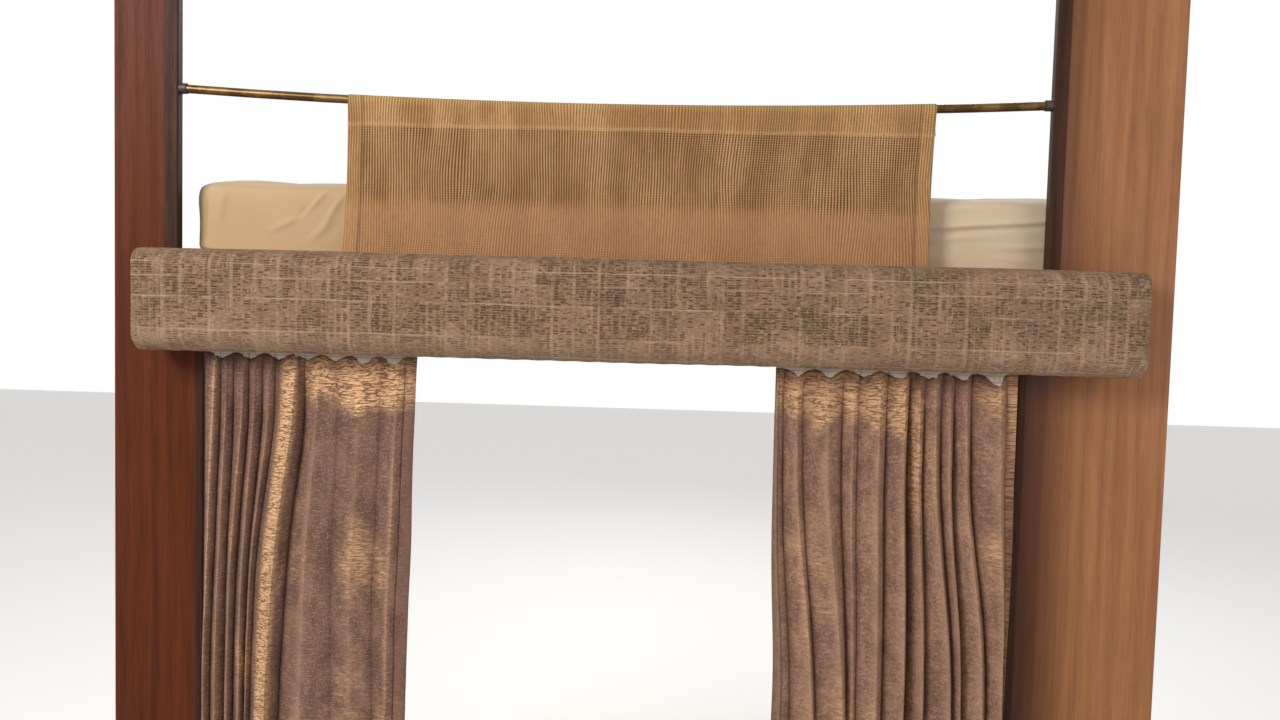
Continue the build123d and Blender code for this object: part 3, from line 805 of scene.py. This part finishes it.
beam_cover = finish_piece("beam_cover", cover_form, upholstery, body=None)
tacked = []
for vertex in beam_cover.data.vertices:
    at_back = vertex.co.y > cover_back - 0.001
    at_return = vertex.co.z > cover_foot + 0.004 and abs(vertex.co.y - foot_back) < 0.001
    at_end = vertex.co.z > core_low.z - 0.001 and abs(vertex.co.x) > half_length - 0.001
    if at_back or at_return or at_end:
        tacked.append(vertex.index)
settle(beam_cover, tacked, pressure=2.5, cap=COVER_SLACK + 0.002)
cover_normals = [v.normal.copy() for v in beam_cover.data.vertices]
for vertex, normal in zip(beam_cover.data.vertices, cover_normals):
    x, y, z = vertex.co
    fading = math.exp(-(z - beam_low.z) / PUCKER_REACH)
    pucker = math.sin(x * 2 * math.pi / PUCKER_PITCH) * fading * PUCKER_HEIGHT
    vertex.co += normal * (waves(x * 7, y * 12, z * 12, 0.0009) + pucker)
beam_cover.data.update()
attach(beam_cover, "bunk")
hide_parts("beam_padding")

# Tack strip. The cover's raw edge, turned under the core behind the padded foot and held
# by a row of galvanised staples, about 50 mm apart.
STRIP_HALF, STRIP_BACK, STRIP_UNDER = 0.880, -0.0640, core_low.z - 0.0007
STRIP_COLUMNS, STRIP_ROWS, STRIP_SAG = 280, 4, 0.0006
STAPLE_COUNT, STAPLE_DROP = 35, 0.0009
STAPLE_SIZE = (0.0102, 0.0012, 0.0006)
strip_deep = STRIP_BACK - foot_back


def thicken(piece, thickness):
    """Give a sheet its real thickness, half to each side."""
    solid = piece.modifiers.new("cloth_thickness", "SOLIDIFY")
    solid.thickness = thickness
    solid.offset = 0.0


strip_form = bmesh.new()
strip_map = strip_form.loops.layers.uv.new("weave")
strip_spots = {}
for vertex, column, row in woven_grid(strip_form, STRIP_COLUMNS, STRIP_ROWS):
    x = (2 * column / STRIP_COLUMNS - 1) * STRIP_HALF
    inward = row / STRIP_ROWS
    ragged = waves(x * 60, 0.0, 4.0, 0.0009) + waves(x * 9, 2.0, 4.0, 0.001)
    from_staple = abs(((x / (2 * STRIP_HALF) + 0.5) * STAPLE_COUNT) % 1.0 - 0.5)
    sag = STRIP_SAG * (1 - math.cos(2 * math.pi * from_staple)) / 2 * inward
    vertex.co = (x, foot_back + (strip_deep + ragged) * inward, STRIP_UNDER - sag)
    strip_spots[vertex] = (x, girth_length[len(girth) - 1] + inward * strip_deep)
lay_weave(strip_map, strip_spots)
bmesh.ops.reverse_faces(strip_form, faces=strip_form.faces)
strip = finish_piece("cover_tack_strip", strip_form, upholstery)
thicken(strip, thickness=0.0011)

staples = bmesh.new()
for number in range(STAPLE_COUNT):
    x = -STRIP_HALF + 2 * STRIP_HALF * (number + 0.5) / STAPLE_COUNT
    askew = Matrix.Rotation(math.radians(7 * math.sin(number * 2.7)), 3, "Z")
    crown = bmesh.ops.create_cube(staples, size=1)["verts"]
    bmesh.ops.scale(staples, verts=crown, vec=STAPLE_SIZE)
    bmesh.ops.rotate(staples, verts=crown, cent=(0, 0, 0), matrix=askew)
    seat = (x, (foot_back + STRIP_BACK) / 2, STRIP_UNDER - STAPLE_DROP)
    bmesh.ops.translate(staples, verts=crown, vec=seat)
bmesh.ops.bevel(staples, geom=staples.edges[:], offset=0.0002, segments=2, profile=0.5, affect="EDGES",
                material=-1)
finish_piece("cover_staples", staples, zinc, smooth=False)

# Guard rail. A bowed steel tube in a worn brass-coloured lacquer, pushed into two dark
# moulded cups that are screwed to the upper lippings.
rail_lacquer, shader, place = object_finish("rail_lacquer")
drawn = cloudy(place, 700, 4, 0.6, 0.0, (0.02, 1, 1))
worn = cloudy(place, 26, 4, 0.6)
brass = tint(between(worn, 0.42, 0.62), colour(92, 68, 43), colour(128, 100, 64))
brass = tint(times(drawn, 0.3), brass, colour(70, 50, 32))
surface(shader, brass, between(worn, 0.3, 0.7, 0.30, 0.46), drawn, 0.00008)
feed(shader, {"Metallic": 1.0})
dress(rail_lacquer, "guard_rail")

dark_moulding, shader, place = object_finish("dark_moulding")
grained = cloudy(place, 900, 3, 0.6)
surface(shader, tint(grained, colour(38, 28, 24), colour(66, 50, 42)), 0.5, grained, 0.00015)
dress(dark_moulding, "rail_socket_left", "rail_socket_right")

# Guard net. A knitted open cloth folded over the rail and sewn into a pocket, its sides
# hemmed, its foot pushed down behind the beam and stapled to the core.
NET_TOP_EDGES = (-0.543, 0.542)
NET_FOOT_EDGES = (-0.555, 0.541)
NET_WAIST = 0.004
NET_FOOT = 0.0212
NET_FRONT = -0.0320
NET_BACK_GAP = 0.0019
RAIL_MIDDLE, RAIL_REACH, RAIL_LOW, RAIL_RISE = -0.0555, 0.8037, 0.337, 0.022
RAIL_Y = -0.024
POCKET_RADIUS = 0.0092
POCKET_DEPTH = 0.050
NET_COLUMNS = 218
RISE_ROWS, TURN_ROWS, POCKET_ROWS = 60, 12, 10
TURN_STEP = math.radians(15)
RIB_PITCH = 0.0051
KNIT_PITCH = 0.0044

net_form = bmesh.new()
net_map = net_form.loops.layers.uv.new("weave")
NET_WIDE = NET_FOOT_EDGES[1] - NET_FOOT_EDGES[0]
net_spots = {}
for vertex, column, row in woven_grid(net_form, NET_COLUMNS, RISE_ROWS + TURN_ROWS + POCKET_ROWS):
    across = column / NET_COLUMNS
    rise = min(1.0, row / RISE_ROWS)
    waist = NET_WAIST * math.sin(math.pi * rise)
    left, right = (foot + (head - foot) * rise ** 0.7 for foot, head in zip(NET_FOOT_EDGES, NET_TOP_EDGES))
    x = left + waist + (right - left - 2 * waist) * across
    top = RAIL_LOW + RAIL_RISE * ((x - RAIL_MIDDLE) / RAIL_REACH) ** 2
    full_rise = top - NET_FOOT
    if row <= RISE_ROWS:
        ripple = waves(x * 9, rise * 1.6, 3.1, 0.0030) + waves(x * 27, rise * 3, 7, 0.0010)
        ripple *= math.sin(math.pi * min(1.0, rise * 1.02)) ** 0.7
        y = NET_FRONT + (RAIL_Y - POCKET_RADIUS - NET_FRONT) * rise ** 3 + ripple
        z = NET_FOOT + full_rise * rise
        run = full_rise * rise
    elif row <= RISE_ROWS + TURN_ROWS:
        turn = math.pi - TURN_STEP * (row - RISE_ROWS)
        y, z = RAIL_Y + POCKET_RADIUS * math.cos(turn), top + POCKET_RADIUS * math.sin(turn)
        run = full_rise + POCKET_RADIUS * (math.pi - turn)
    else:
        down = (row - RISE_ROWS - TURN_ROWS) / POCKET_ROWS
        y = RAIL_Y + POCKET_RADIUS + (NET_FRONT + NET_BACK_GAP - RAIL_Y - POCKET_RADIUS) * down ** 0.8
        z = top - POCKET_DEPTH * down
        run = full_rise + POCKET_RADIUS * math.pi + POCKET_DEPTH * down
    vertex.co = (x, y, z)
    net_spots[vertex] = (across * NET_WIDE, run)
lay_weave(net_map, net_spots)
NET_LONG = max(run for across, run in net_spots.values())
stitch_level = NET_LONG - 2 * POCKET_DEPTH - math.pi * POCKET_RADIUS

net_knit, shader, flat, along, up = woven_finish("net_knit")
wander = yarns(flat, 6, 4, 1, 0.4)
jitter = yarns(flat, 180, 60)
leaning = times(jitter, 0.0008, times(wander, 0.034, along))
rib_swing = calc("PINGPONG", calc("DIVIDE", leaning, RIB_PITCH / 2), 1.0)
knit_swing = calc("PINGPONG", calc("DIVIDE", times(jitter, 0.0022, up), KNIT_PITCH / 2), 1.0)
openness = yarns(flat, 16, 5, 3, 0.55)
over_sheet = between(up, 0.118, 0.150, 1.0, 0.0)
gap_width = times(over_sheet, -0.08, times(openness, 0.24, 0.37))
rib = between(calc("SUBTRACT", rib_swing, gap_width), -0.10, 0.10)
rung = between(knit_swing, 0.52, 0.74)
from_side = calc("SUBTRACT", NET_WIDE / 2, apart(along, NET_WIDE / 2))
side_hem = between(from_side, 0.024, 0.028, 1.0, 0.0)
hem_edge = between(apart(from_side, 0.028), 0.001, 0.005, 1.0, 0.0)
from_stitch = apart(up, times(wander, 0.012, stitch_level - 0.006))
stitch = times(between(from_stitch, 0.0010, 0.0056, 0.9, 0.0), between(jitter, 0.35, 0.60, 0.45, 1.0))
pocket = between(up, stitch_level - 0.002, stitch_level + 0.002)
closed = most(rung, times(most(side_hem, pocket), 0.62), stitch)
filled = most(rib, times(closed, 0.66))
# Painted shade in the knit's gaps: near black where the dark space behind the net would show, and a mid-tone
# where the sheet lies behind. Over the sheet the ribs are evened to one tone.
painted_gap_shade = tint(over_sheet, colour(26, 15, 7), colour(128, 88, 58))
rib_tone = tint(between(openness, 0.35, 0.65), colour(200, 152, 101), colour(176, 129, 79))
rib_tone = tint(times(over_sheet, 0.6), rib_tone, colour(187, 138, 98))
rib_tone = tint(times(between(jitter, 0.45, 0.7), 0.3), rib_tone, colour(140, 104, 70))
yellow_top = between(up, stitch_level + 0.030, stitch_level + 0.048)
rib_tone = tint(times(yellow_top, 0.4), rib_tone, colour(206, 170, 104))
knit_tone = tint(filled, painted_gap_shade, rib_tone)
knit_tone = tint(times(stitch, 0.34), knit_tone, colour(204, 166, 122))
knit_tone = tint(times(hem_edge, 0.4), knit_tone, colour(96, 64, 38))
surface(shader, knit_tone, 0.9, times(rib, 0.8, closed), 0.0007)
pin_hole = times(between(rib_swing, 0.04, 0.07, 1.0, 0.0), between(knit_swing, 0.08, 0.12, 1.0, 0.0))
feed(shader, {"Alpha": calc("SUBTRACT", 1.0, pin_hole), "Sheen Weight": 0.2, "Specular IOR Level": 0.2})

guard_net = finish_piece("net_over_rail", net_form, net_knit, hide=["guard_net"])
thicken(guard_net, thickness=0.0010)

# Curtain track, stops and gliders. A white aluminium channel screwed under the core, a
# moulded plug in each end, and on each side eight nylon gliders with their hooks.
track_paint, shader, place = object_finish("track_paint")
drawn = cloudy(place, 500, 3, 0.6, 0.0, (0.03, 1, 1))
rub = cloudy(place, 40, 4, 0.6)
painted = tint(times(between(rub, 0.5, 0.7), 0.4), colour(222, 214, 196), colour(176, 164, 142))
surface(shader, painted, between(drawn, 0.3, 0.7, 0.36, 0.5), drawn, 0.00008)
dress(track_paint, "curtain_track", "track_stop_left", "track_stop_right")

nylon, shader, place = object_finish("glider_nylon")
flow = cloudy(place, 300, 3, 0.6)
surface(shader, tint(flow, colour(214, 204, 182), colour(236, 230, 214)), 0.38, flow, 0.00008)
feed(shader, {"Subsurface Weight": 0.1, "Subsurface Scale": 0.004})
GLIDER_COUNT = 8


def gliders(side):
    """The names of one side's gliders, from the fixed one to the leading one."""
    labels = ("end", *map(str, range(1, GLIDER_COUNT - 1)), "lead")
    return ["glider_%s_%s" % (side, label) for label in labels]


dress(nylon, *gliders("left"), *gliders("right"))

# Curtains. Damask, mauve pile with bands of gold satin slub, gathered on to a white
# heading tape whose pockets hold the hooks. They fall in uneven folds to near the floor.
# The gold patches and stripes are partly the cloth's figure and partly painted sunlight
# and painted highlight.
CLOTH_TOP = -0.1312
CLOTH_BOTTOM = -1.4480
SEEN_LEVEL = -0.29
LOWER_LEVEL = -0.629
CLOTH_BACK = -0.0500
HEADING_BACK = -0.0562
CLOTH_THICKNESS = 0.0013
CLOTH_ROWS = 118
STEPS_PER_FOLD = 9
FOLD_DEPTH = 1.34
FULL_FOLD = 0.012
HEADING_DROP = 0.16
NOTCH_DROP, NOTCH_DEPTH, NOTCH_REACH = 0.0125, 0.0050, 0.045
GATHER_PITCH, GATHER_DEPTH, GATHER_REACH = 0.0125, 0.0011, 0.07
STEM_FRONT, STEM_FOOT, BELOW_STEMS = -0.0552, -0.168, -0.0405
EYE_ROOM, STUB_ROOM, STUB_HALF, STUB_FADE = 0.0022, 0.0028, 0.0055, 0.004
HOOKS_START, HOOKS_FADE = -0.148, 0.009
TAPE_ROWS, TAPE_DROP, TAPE_RAISED = 6, 0.026, 0.0036
TAPE_BEHIND, TAPE_AT_HOOKS, TAPE_THICKNESS = 0.0012, 0.0009, 0.0006
LEFT_FOLDS = (
    # place of each crest and valley at eye level and lower down, how far forward it stands
    (-0.7985, -0.8020, 0.006), (-0.7790, -0.7925, 0.021), (-0.7705, -0.7850, 0.006),
    (-0.7573, -0.7725, 0.018), (-0.7464, -0.7600, 0.004), (-0.7251, -0.7468, 0.022),
    (-0.7183, -0.7414, 0.006), (-0.7041, -0.7250, 0.020), (-0.6927, -0.7180, 0.005),
    (-0.6787, -0.7100, 0.019), (-0.6700, -0.7040, 0.009), (-0.6295, -0.6645, 0.030),
    (-0.6144, -0.6478, 0.004), (-0.5836, -0.6029, 0.022), (-0.5459, -0.5513, 0.015),
    (-0.5047, -0.5114, 0.023), (-0.4656, -0.4736, 0.016), (-0.4330, -0.4441, 0.025),
    (-0.4201, -0.4311, 0.019), (-0.4000, -0.4084, 0.016),
)
RIGHT_FOLDS = (
    (0.7020, 0.7030, 0.010), (0.6840, 0.6965, 0.006), (0.6690, 0.6880, 0.032),
    (0.6200, 0.6620, 0.008), (0.6108, 0.6520, 0.024), (0.5891, 0.6193, 0.008),
    (0.5804, 0.6123, 0.026), (0.5685, 0.6018, 0.006), (0.5555, 0.5930, 0.024),
    (0.5363, 0.5520, 0.008), (0.5263, 0.5448, 0.024), (0.5090, 0.5196, 0.000),
    (0.4991, 0.5108, 0.028), (0.4685, 0.4767, 0.008), (0.4541, 0.4634, 0.026),
    (0.4163, 0.4273, 0.012), (0.4071, 0.4200, 0.020), (0.3886, 0.4090, 0.004),
    (0.3607, 0.3950, 0.026), (0.3158, 0.3455, 0.013), (0.3053, 0.3393, 0.024),
    (0.2803, 0.3031, 0.010), (0.2685, 0.2846, 0.022), (0.2647, 0.2749, 0.008),
)


def sway(z, bend):
    """How far a fold has moved from its place at eye level to its place lower down."""
    fall = SEEN_LEVEL - z
    if fall < 0:
        return 4.4 * (2 - bend) * fall * math.exp(fall / 0.1)
    return 1.35 * (1 - math.exp(-1.35 * (fall / (SEEN_LEVEL - LOWER_LEVEL)) ** bend))


def clear_of_hooks(x, z, hooks):
    """The furthest back that the heading may lie, in front of the hooks' stems and short ends."""
    first_hook, hook_step = hooks
    from_hook = abs((x - first_hook + hook_step / 2) % hook_step - hook_step / 2)
    at_hook = clamp((STUB_HALF + STUB_FADE - from_hook) / STUB_FADE)
    return STEM_FRONT - (EYE_ROOM + STUB_ROOM * at_hook) * clamp((z - HOOKS_START) / HOOKS_FADE)


def cloth_point(folds, spot, z, hooks, seed, bend):
    """Where the cloth lies at a place along its folds and a height, and how much of a crest it is."""
    index = min(int(spot), len(folds) - 2)
    share = spot - index
    first, second = folds[index], folds[index + 1]
    lean = sway(z, bend)
    x0, x1 = (upper + (lower - upper) * lean for upper, lower, forward in (first, second))
    x = x0 + (x1 - x0) * (share - 0.12 * math.sin(2 * math.pi * share))
    low, high = sorted((first[2], second[2]))
    climb = share if second[2] > first[2] else 1 - share
    ramp = 0.42 * math.sin(math.pi / 2 * climb) + 0.58 * (1 - math.cos(math.pi * climb)) / 2
    fullness = min(1.0, (high - low) / FULL_FOLD)
    below = (CLOTH_TOP - z) / HEADING_DROP
    opened = min(1.0, 0.26 + 0.74 * clamp(below) ** 0.8)
    deeper = 1 + 0.08 * clamp((-0.5 - z) / 0.8)
    crest = ramp * fullness * (0.4 + 0.6 * clamp(below)) + 0.45 * (1 - fullness)

    y = HEADING_BACK + (CLOTH_BACK - HEADING_BACK) * clamp(below - 0.15)
    y -= FOLD_DEPTH * (low + (high - low) * ramp) * opened * deeper
    loose = clamp(below * 0.5)
    wave = waves(x * 11 + seed, z * 3.0, 1.7, 0.0055) + waves(x * 34 + seed, z * 8.0, 5.2, 0.0024)
    y += (wave + waves(x * 60 + seed, z * 26.0, 2.2, 0.0009)) * loose
    x += waves(x * 9 + seed, z * 3.6, 9.4, 0.0050) * loose

    first_hook, hook_step = hooks
    hooks_passed = (x - first_hook) / hook_step
    down = CLOTH_TOP - z
    if 0 <= hooks_passed <= GLIDER_COUNT - 1:
        notch = (1 - abs(2 * (hooks_passed % 1.0) - 1)) ** 1.5 * max(0.0, 1 - down / NOTCH_REACH)
        z -= NOTCH_DROP * notch
        y -= NOTCH_DEPTH * notch
        down = CLOTH_TOP - z
    gather = math.sin((x - first_hook) * 2 * math.pi / GATHER_PITCH) * GATHER_DEPTH
    y += gather * max(0.0, 1 - down / GATHER_REACH)
    y = min(y, clear_of_hooks(x, z, hooks) if z > STEM_FOOT else BELOW_STEMS)
    return Vector((x, y, z)), crest


REPEAT = 0.34
damask, cloth_in, cloth_out = start_group(
    "damask",
    [("Along", "Float", 0.0), ("Down", "Float", 0.0), ("Lit_Stripe", "Float", 0.0), ("Band", "Float", 1.0),
     ("Crest", "Float", 0.5), ("Start", "Float", 0.0), ("Painted_Lit", "Float", 1.0)],
    [("Color", "Color"), ("Height", "Float"), ("Rough", "Float")],
)
down, crest, painted_lit = cloth_in["Down"], cloth_in["Crest"], cloth_in["Painted_Lit"]
cloth = flat_place(cloth_in["Along"], down, cloth_in["Start"])
# The gold satin mask is partly the cloth's satin figure and partly painted sunlight: its repeated patches and
# band stand for sun patches, crests get more of it as painted highlight, and the painted-lit copy gets less.
repeat = calc("COSINE", times(calc("SUBTRACT", down, 0.03), 2 * math.pi / REPEAT))
figure = yarns(cloth, 7.5, 5.5, 3, 0.5, 0.3)
figure_edge = yarns(cloth, 60, 150, 3, 0.6)
fading = times(between(down, 0.10, 0.34, 0.34, 0.07), cloth_in["Band"])
satin_and_painted_sun = times(repeat, fading, times(figure, 0.92, 0.055))
satin_and_painted_sun = times(figure_edge, 0.30, times(crest, 0.12, satin_and_painted_sun))
satin_and_painted_sun = times(between(satin_and_painted_sun, 0.76, 0.96), between(down, 0.16, 0.28, 1.0, 0.60))
satin_and_painted_sun = times(most(satin_and_painted_sun, cloth_in["Lit_Stripe"]), times(painted_lit, -0.30, 1.0))
slub = yarns(cloth, 115, 420, 4, 0.62, 0.25)
slub_glint = yarns(cloth, 70, 520, 2, 0.5, 0.2, 3)
crack = between(apart(yarns(cloth, 30, 150, 2, 0.5, 0.08), 0.5), 0.008, 0.046, 1.0, 0.0)
gold = tint(between(slub, 0.34, 0.58), colour(160, 113, 80), colour(220, 171, 124))
gold = tint(times(between(slub_glint, 0.52, 0.66), 0.7), gold, colour(242, 200, 150))
gold = tint(times(crack, 0.80), gold, colour(84, 53, 37))
moire = yarns(cloth, 26, 13, 5, 0.62, 0.7)
speckle = yarns(cloth, 260, 260, 3, 0.65)
brushed = yarns(cloth, 60, 330, 3, 0.55, 0.2)
# Painted light: the pile is painted darker on the copy in shade and lighter on the lit copy of the same
# cloth.
pile_low = tint(painted_lit, colour(96, 70, 59), colour(114, 83, 69))
pile_high = tint(painted_lit, colour(127, 96, 80), colour(144, 109, 89))
pile = tint(between(moire, 0.34, 0.68), pile_low, pile_high)
pile = tint(times(between(brushed, 0.50, 0.68), 0.34), pile, colour(178, 142, 112))
pile = tint(times(between(speckle, 0.53, 0.64), 0.60), pile, colour(82, 56, 44))
pile = tint(times(between(speckle, 0.44, 0.34), 0.45), pile, colour(184, 148, 120))
shown = tint(satin_and_painted_sun, pile, gold)
# Painted shade in the fold valleys and a painted highlight on the crests, from the crest value set on the
# cloth's form.
shown = tint(between(crest, 0.0, 0.55, 0.55, 0.0), shown, colour(148, 126, 124), "MULTIPLY")
shown = tint(between(crest, 0.6, 1.0, 0.0, 0.22), shown, colour(198, 160, 128))
relief = times(calc("SUBTRACT", slub, crack), satin_and_painted_sun, times(speckle, 0.5))
feed(cloth_out, {"Color": shown, "Height": relief, "Rough": between(satin_and_painted_sun, 0.0, 1.0, 0.84, 0.54)})


def damask_finish(name, width, lit_stripes, band, start, painted_lit):
    """The curtains' cloth, with its hems and the places of its full-height gold stripes, painted highlights
    on lit ridges.
    """
    finish, shader, flat, along, down = woven_finish(name)
    crest = add(shader.id_data, "ShaderNodeAttribute", attribute_name="crest").outputs["Fac"]
    ragged = yarns(flat, 30, 190, 3, 0.6)
    wander = yarns(flat, 3, 2.5)
    lit_striped = 0.0
    # Painted highlight stripes: full-height bands of gold down the lit ridges.
    for centre, half, strength in lit_stripes:
        away = times(wander, 0.022, times(ragged, 0.014, apart(along, centre)))
        lit_striped = most(between(away, half + 0.010, half + 0.026, strength, 0.0), lit_striped)
    banded = between(along, band - 0.03, band + 0.03)
    cloth = use_group(damask, {"Along": along, "Down": down, "Lit_Stripe": lit_striped, "Band": banded,
                               "Crest": crest, "Start": start, "Painted_Lit": painted_lit})
    from_edge = calc("SUBTRACT", width, along)
    hem = between(from_edge, 0.0245, 0.0262, 1.0, 0.0)
    hem_line = between(apart(from_edge, 0.0255), 0.0004, 0.0016, 1.0, 0.0)
    foot_line = between(apart(CLOTH_TOP - CLOTH_BOTTOM - 0.06, down), 0.0005, 0.0017, 1.0, 0.0)
    seam = most(hem_line, foot_line)
    shown = tint(times(hem, 0.45), cloth["Color"], colour(112, 78, 62))
    shown = tint(times(seam, 0.6), shown, colour(66, 42, 33))
    surface(shader, shown, cloth["Rough"], calc("SUBTRACT", times(hem, 0.6, cloth["Height"]), seam), 0.0012)
    feed(shader, {"Sheen Weight": 0.30, "Sheen Roughness": 0.4, "Sheen Tint": colour(214, 178, 148),
                  "Specular IOR Level": 0.3})
    return finish


heading_cotton, shader, flat, along, down = woven_finish("heading_tape")
cord_line = calc("PINGPONG", times(down, 165.0), 1.0)
pocket_line = calc("PINGPONG", times(along, 240.0), 1.0)
tape_threads = yarns(flat, 500, 900, 3, 0.6)
tape_tone = tint(between(cord_line, 0.72, 0.9), colour(216, 206, 190), colour(176, 160, 140))
tape_tone = tint(times(between(pocket_line, 0.8, 0.95), 0.4), tape_tone, colour(170, 152, 130))
tape_tone = tint(times(tape_threads, 0.3), tape_tone, colour(150, 132, 112))
surface(shader, tape_tone, 0.85, calc("SUBTRACT", tape_threads, cord_line), 0.0006)


def hang(side, folds, lit_stripes, band, start, bend, painted_lit):
    """One curtain and its heading tape, which gather between the fixed glider and the leading one."""
    end_boxes = (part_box("glider_%s_end" % side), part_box("glider_%s_lead" % side))
    first_hook, last_hook = ((low.x + high.x) / 2 for low, high in end_boxes)
    hooks = (first_hook, (last_hook - first_hook) / (GLIDER_COUNT - 1))
    columns = (len(folds) - 1) * STEPS_PER_FOLD

    def hanging(column, z):
        """Where a column of the cloth lies at a height, and how much of a crest it is there."""
        return cloth_point(folds, column / STEPS_PER_FOLD, z, hooks, start, bend)

    lengths = run_lengths([hanging(column, LOWER_LEVEL)[0] for column in range(columns + 1)])
    width = lengths[-1]
    form = bmesh.new()
    weave = form.loops.layers.uv.new("weave")
    crest_layer = form.verts.layers.float.new("crest")
    spots = {}
    for vertex, column, row in woven_grid(form, columns, CLOTH_ROWS):
        share = 1 - row / CLOTH_ROWS
        z = CLOTH_TOP + (CLOTH_BOTTOM - CLOTH_TOP) * (0.35 * share * share + 0.65 * share)
        vertex.co, vertex[crest_layer] = hanging(column, z)
        spots[vertex] = (lengths[column], CLOTH_TOP - z)
    lay_weave(weave, spots)

    tape_form = bmesh.new()
    tape_weave = tape_form.loops.layers.uv.new("weave")
    tape_spots = {}
    for vertex, column, row in woven_grid(tape_form, columns, TAPE_ROWS):
        down = (1 - row / TAPE_ROWS) * TAPE_DROP
        x, y, z = hanging(column, CLOTH_TOP - down)[0]
        y = max(y, hanging(column, CLOTH_TOP - TAPE_DROP)[0].y) + TAPE_BEHIND
        z = CLOTH_TOP + TAPE_RAISED - down
        vertex.co = (x, min(y, clear_of_hooks(x, z, hooks) + TAPE_AT_HOOKS), z)
        tape_spots[vertex] = (lengths[column], down)
    lay_weave(tape_weave, tape_spots)
    if side == "right":
        bmesh.ops.reverse_faces(form, faces=form.faces)
        bmesh.ops.reverse_faces(tape_form, faces=tape_form.faces)

    laid = [(lengths[round(spot * STEPS_PER_FOLD)], half, strength) for spot, half, strength in lit_stripes]
    band_place = lengths[round(band * STEPS_PER_FOLD)]
    cloth_finish = damask_finish(side + "_damask", width, laid, band_place, start, painted_lit)
    curtain = finish_piece(side + "_curtain_cloth", form, cloth_finish, body=None, hide=["curtain_" + side])
    thicken(curtain, CLOTH_THICKNESS)
    tape = finish_piece(side + "_heading_tape", tape_form, heading_cotton, body=None)
    thicken(tape, TAPE_THICKNESS)
    for piece in (curtain, tape):
        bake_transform(piece)


# Each painted highlight stripe has its place along the folds, its half width and its strength.
LEFT_LIT_STRIPES = ((1.0, 0.001, 0.8), (10.65, 0.018, 0.95), (16.9, 0.001, 0.45))
RIGHT_LIT_STRIPES = ((0.6, 0.004, 0.9), (7.0, 0.001, 0.9), (17.0, 0.001, 0.8))
# The left curtain is the painted-shade copy of the cloth and the right one the painted-lit copy.
hang("left", LEFT_FOLDS, LEFT_LIT_STRIPES, band=11.6, start=2.0, bend=1.1, painted_lit=0.0)
hang("right", RIGHT_FOLDS, RIGHT_LIT_STRIPES, band=11.5, start=8.5, bend=1.8, painted_lit=1.0)
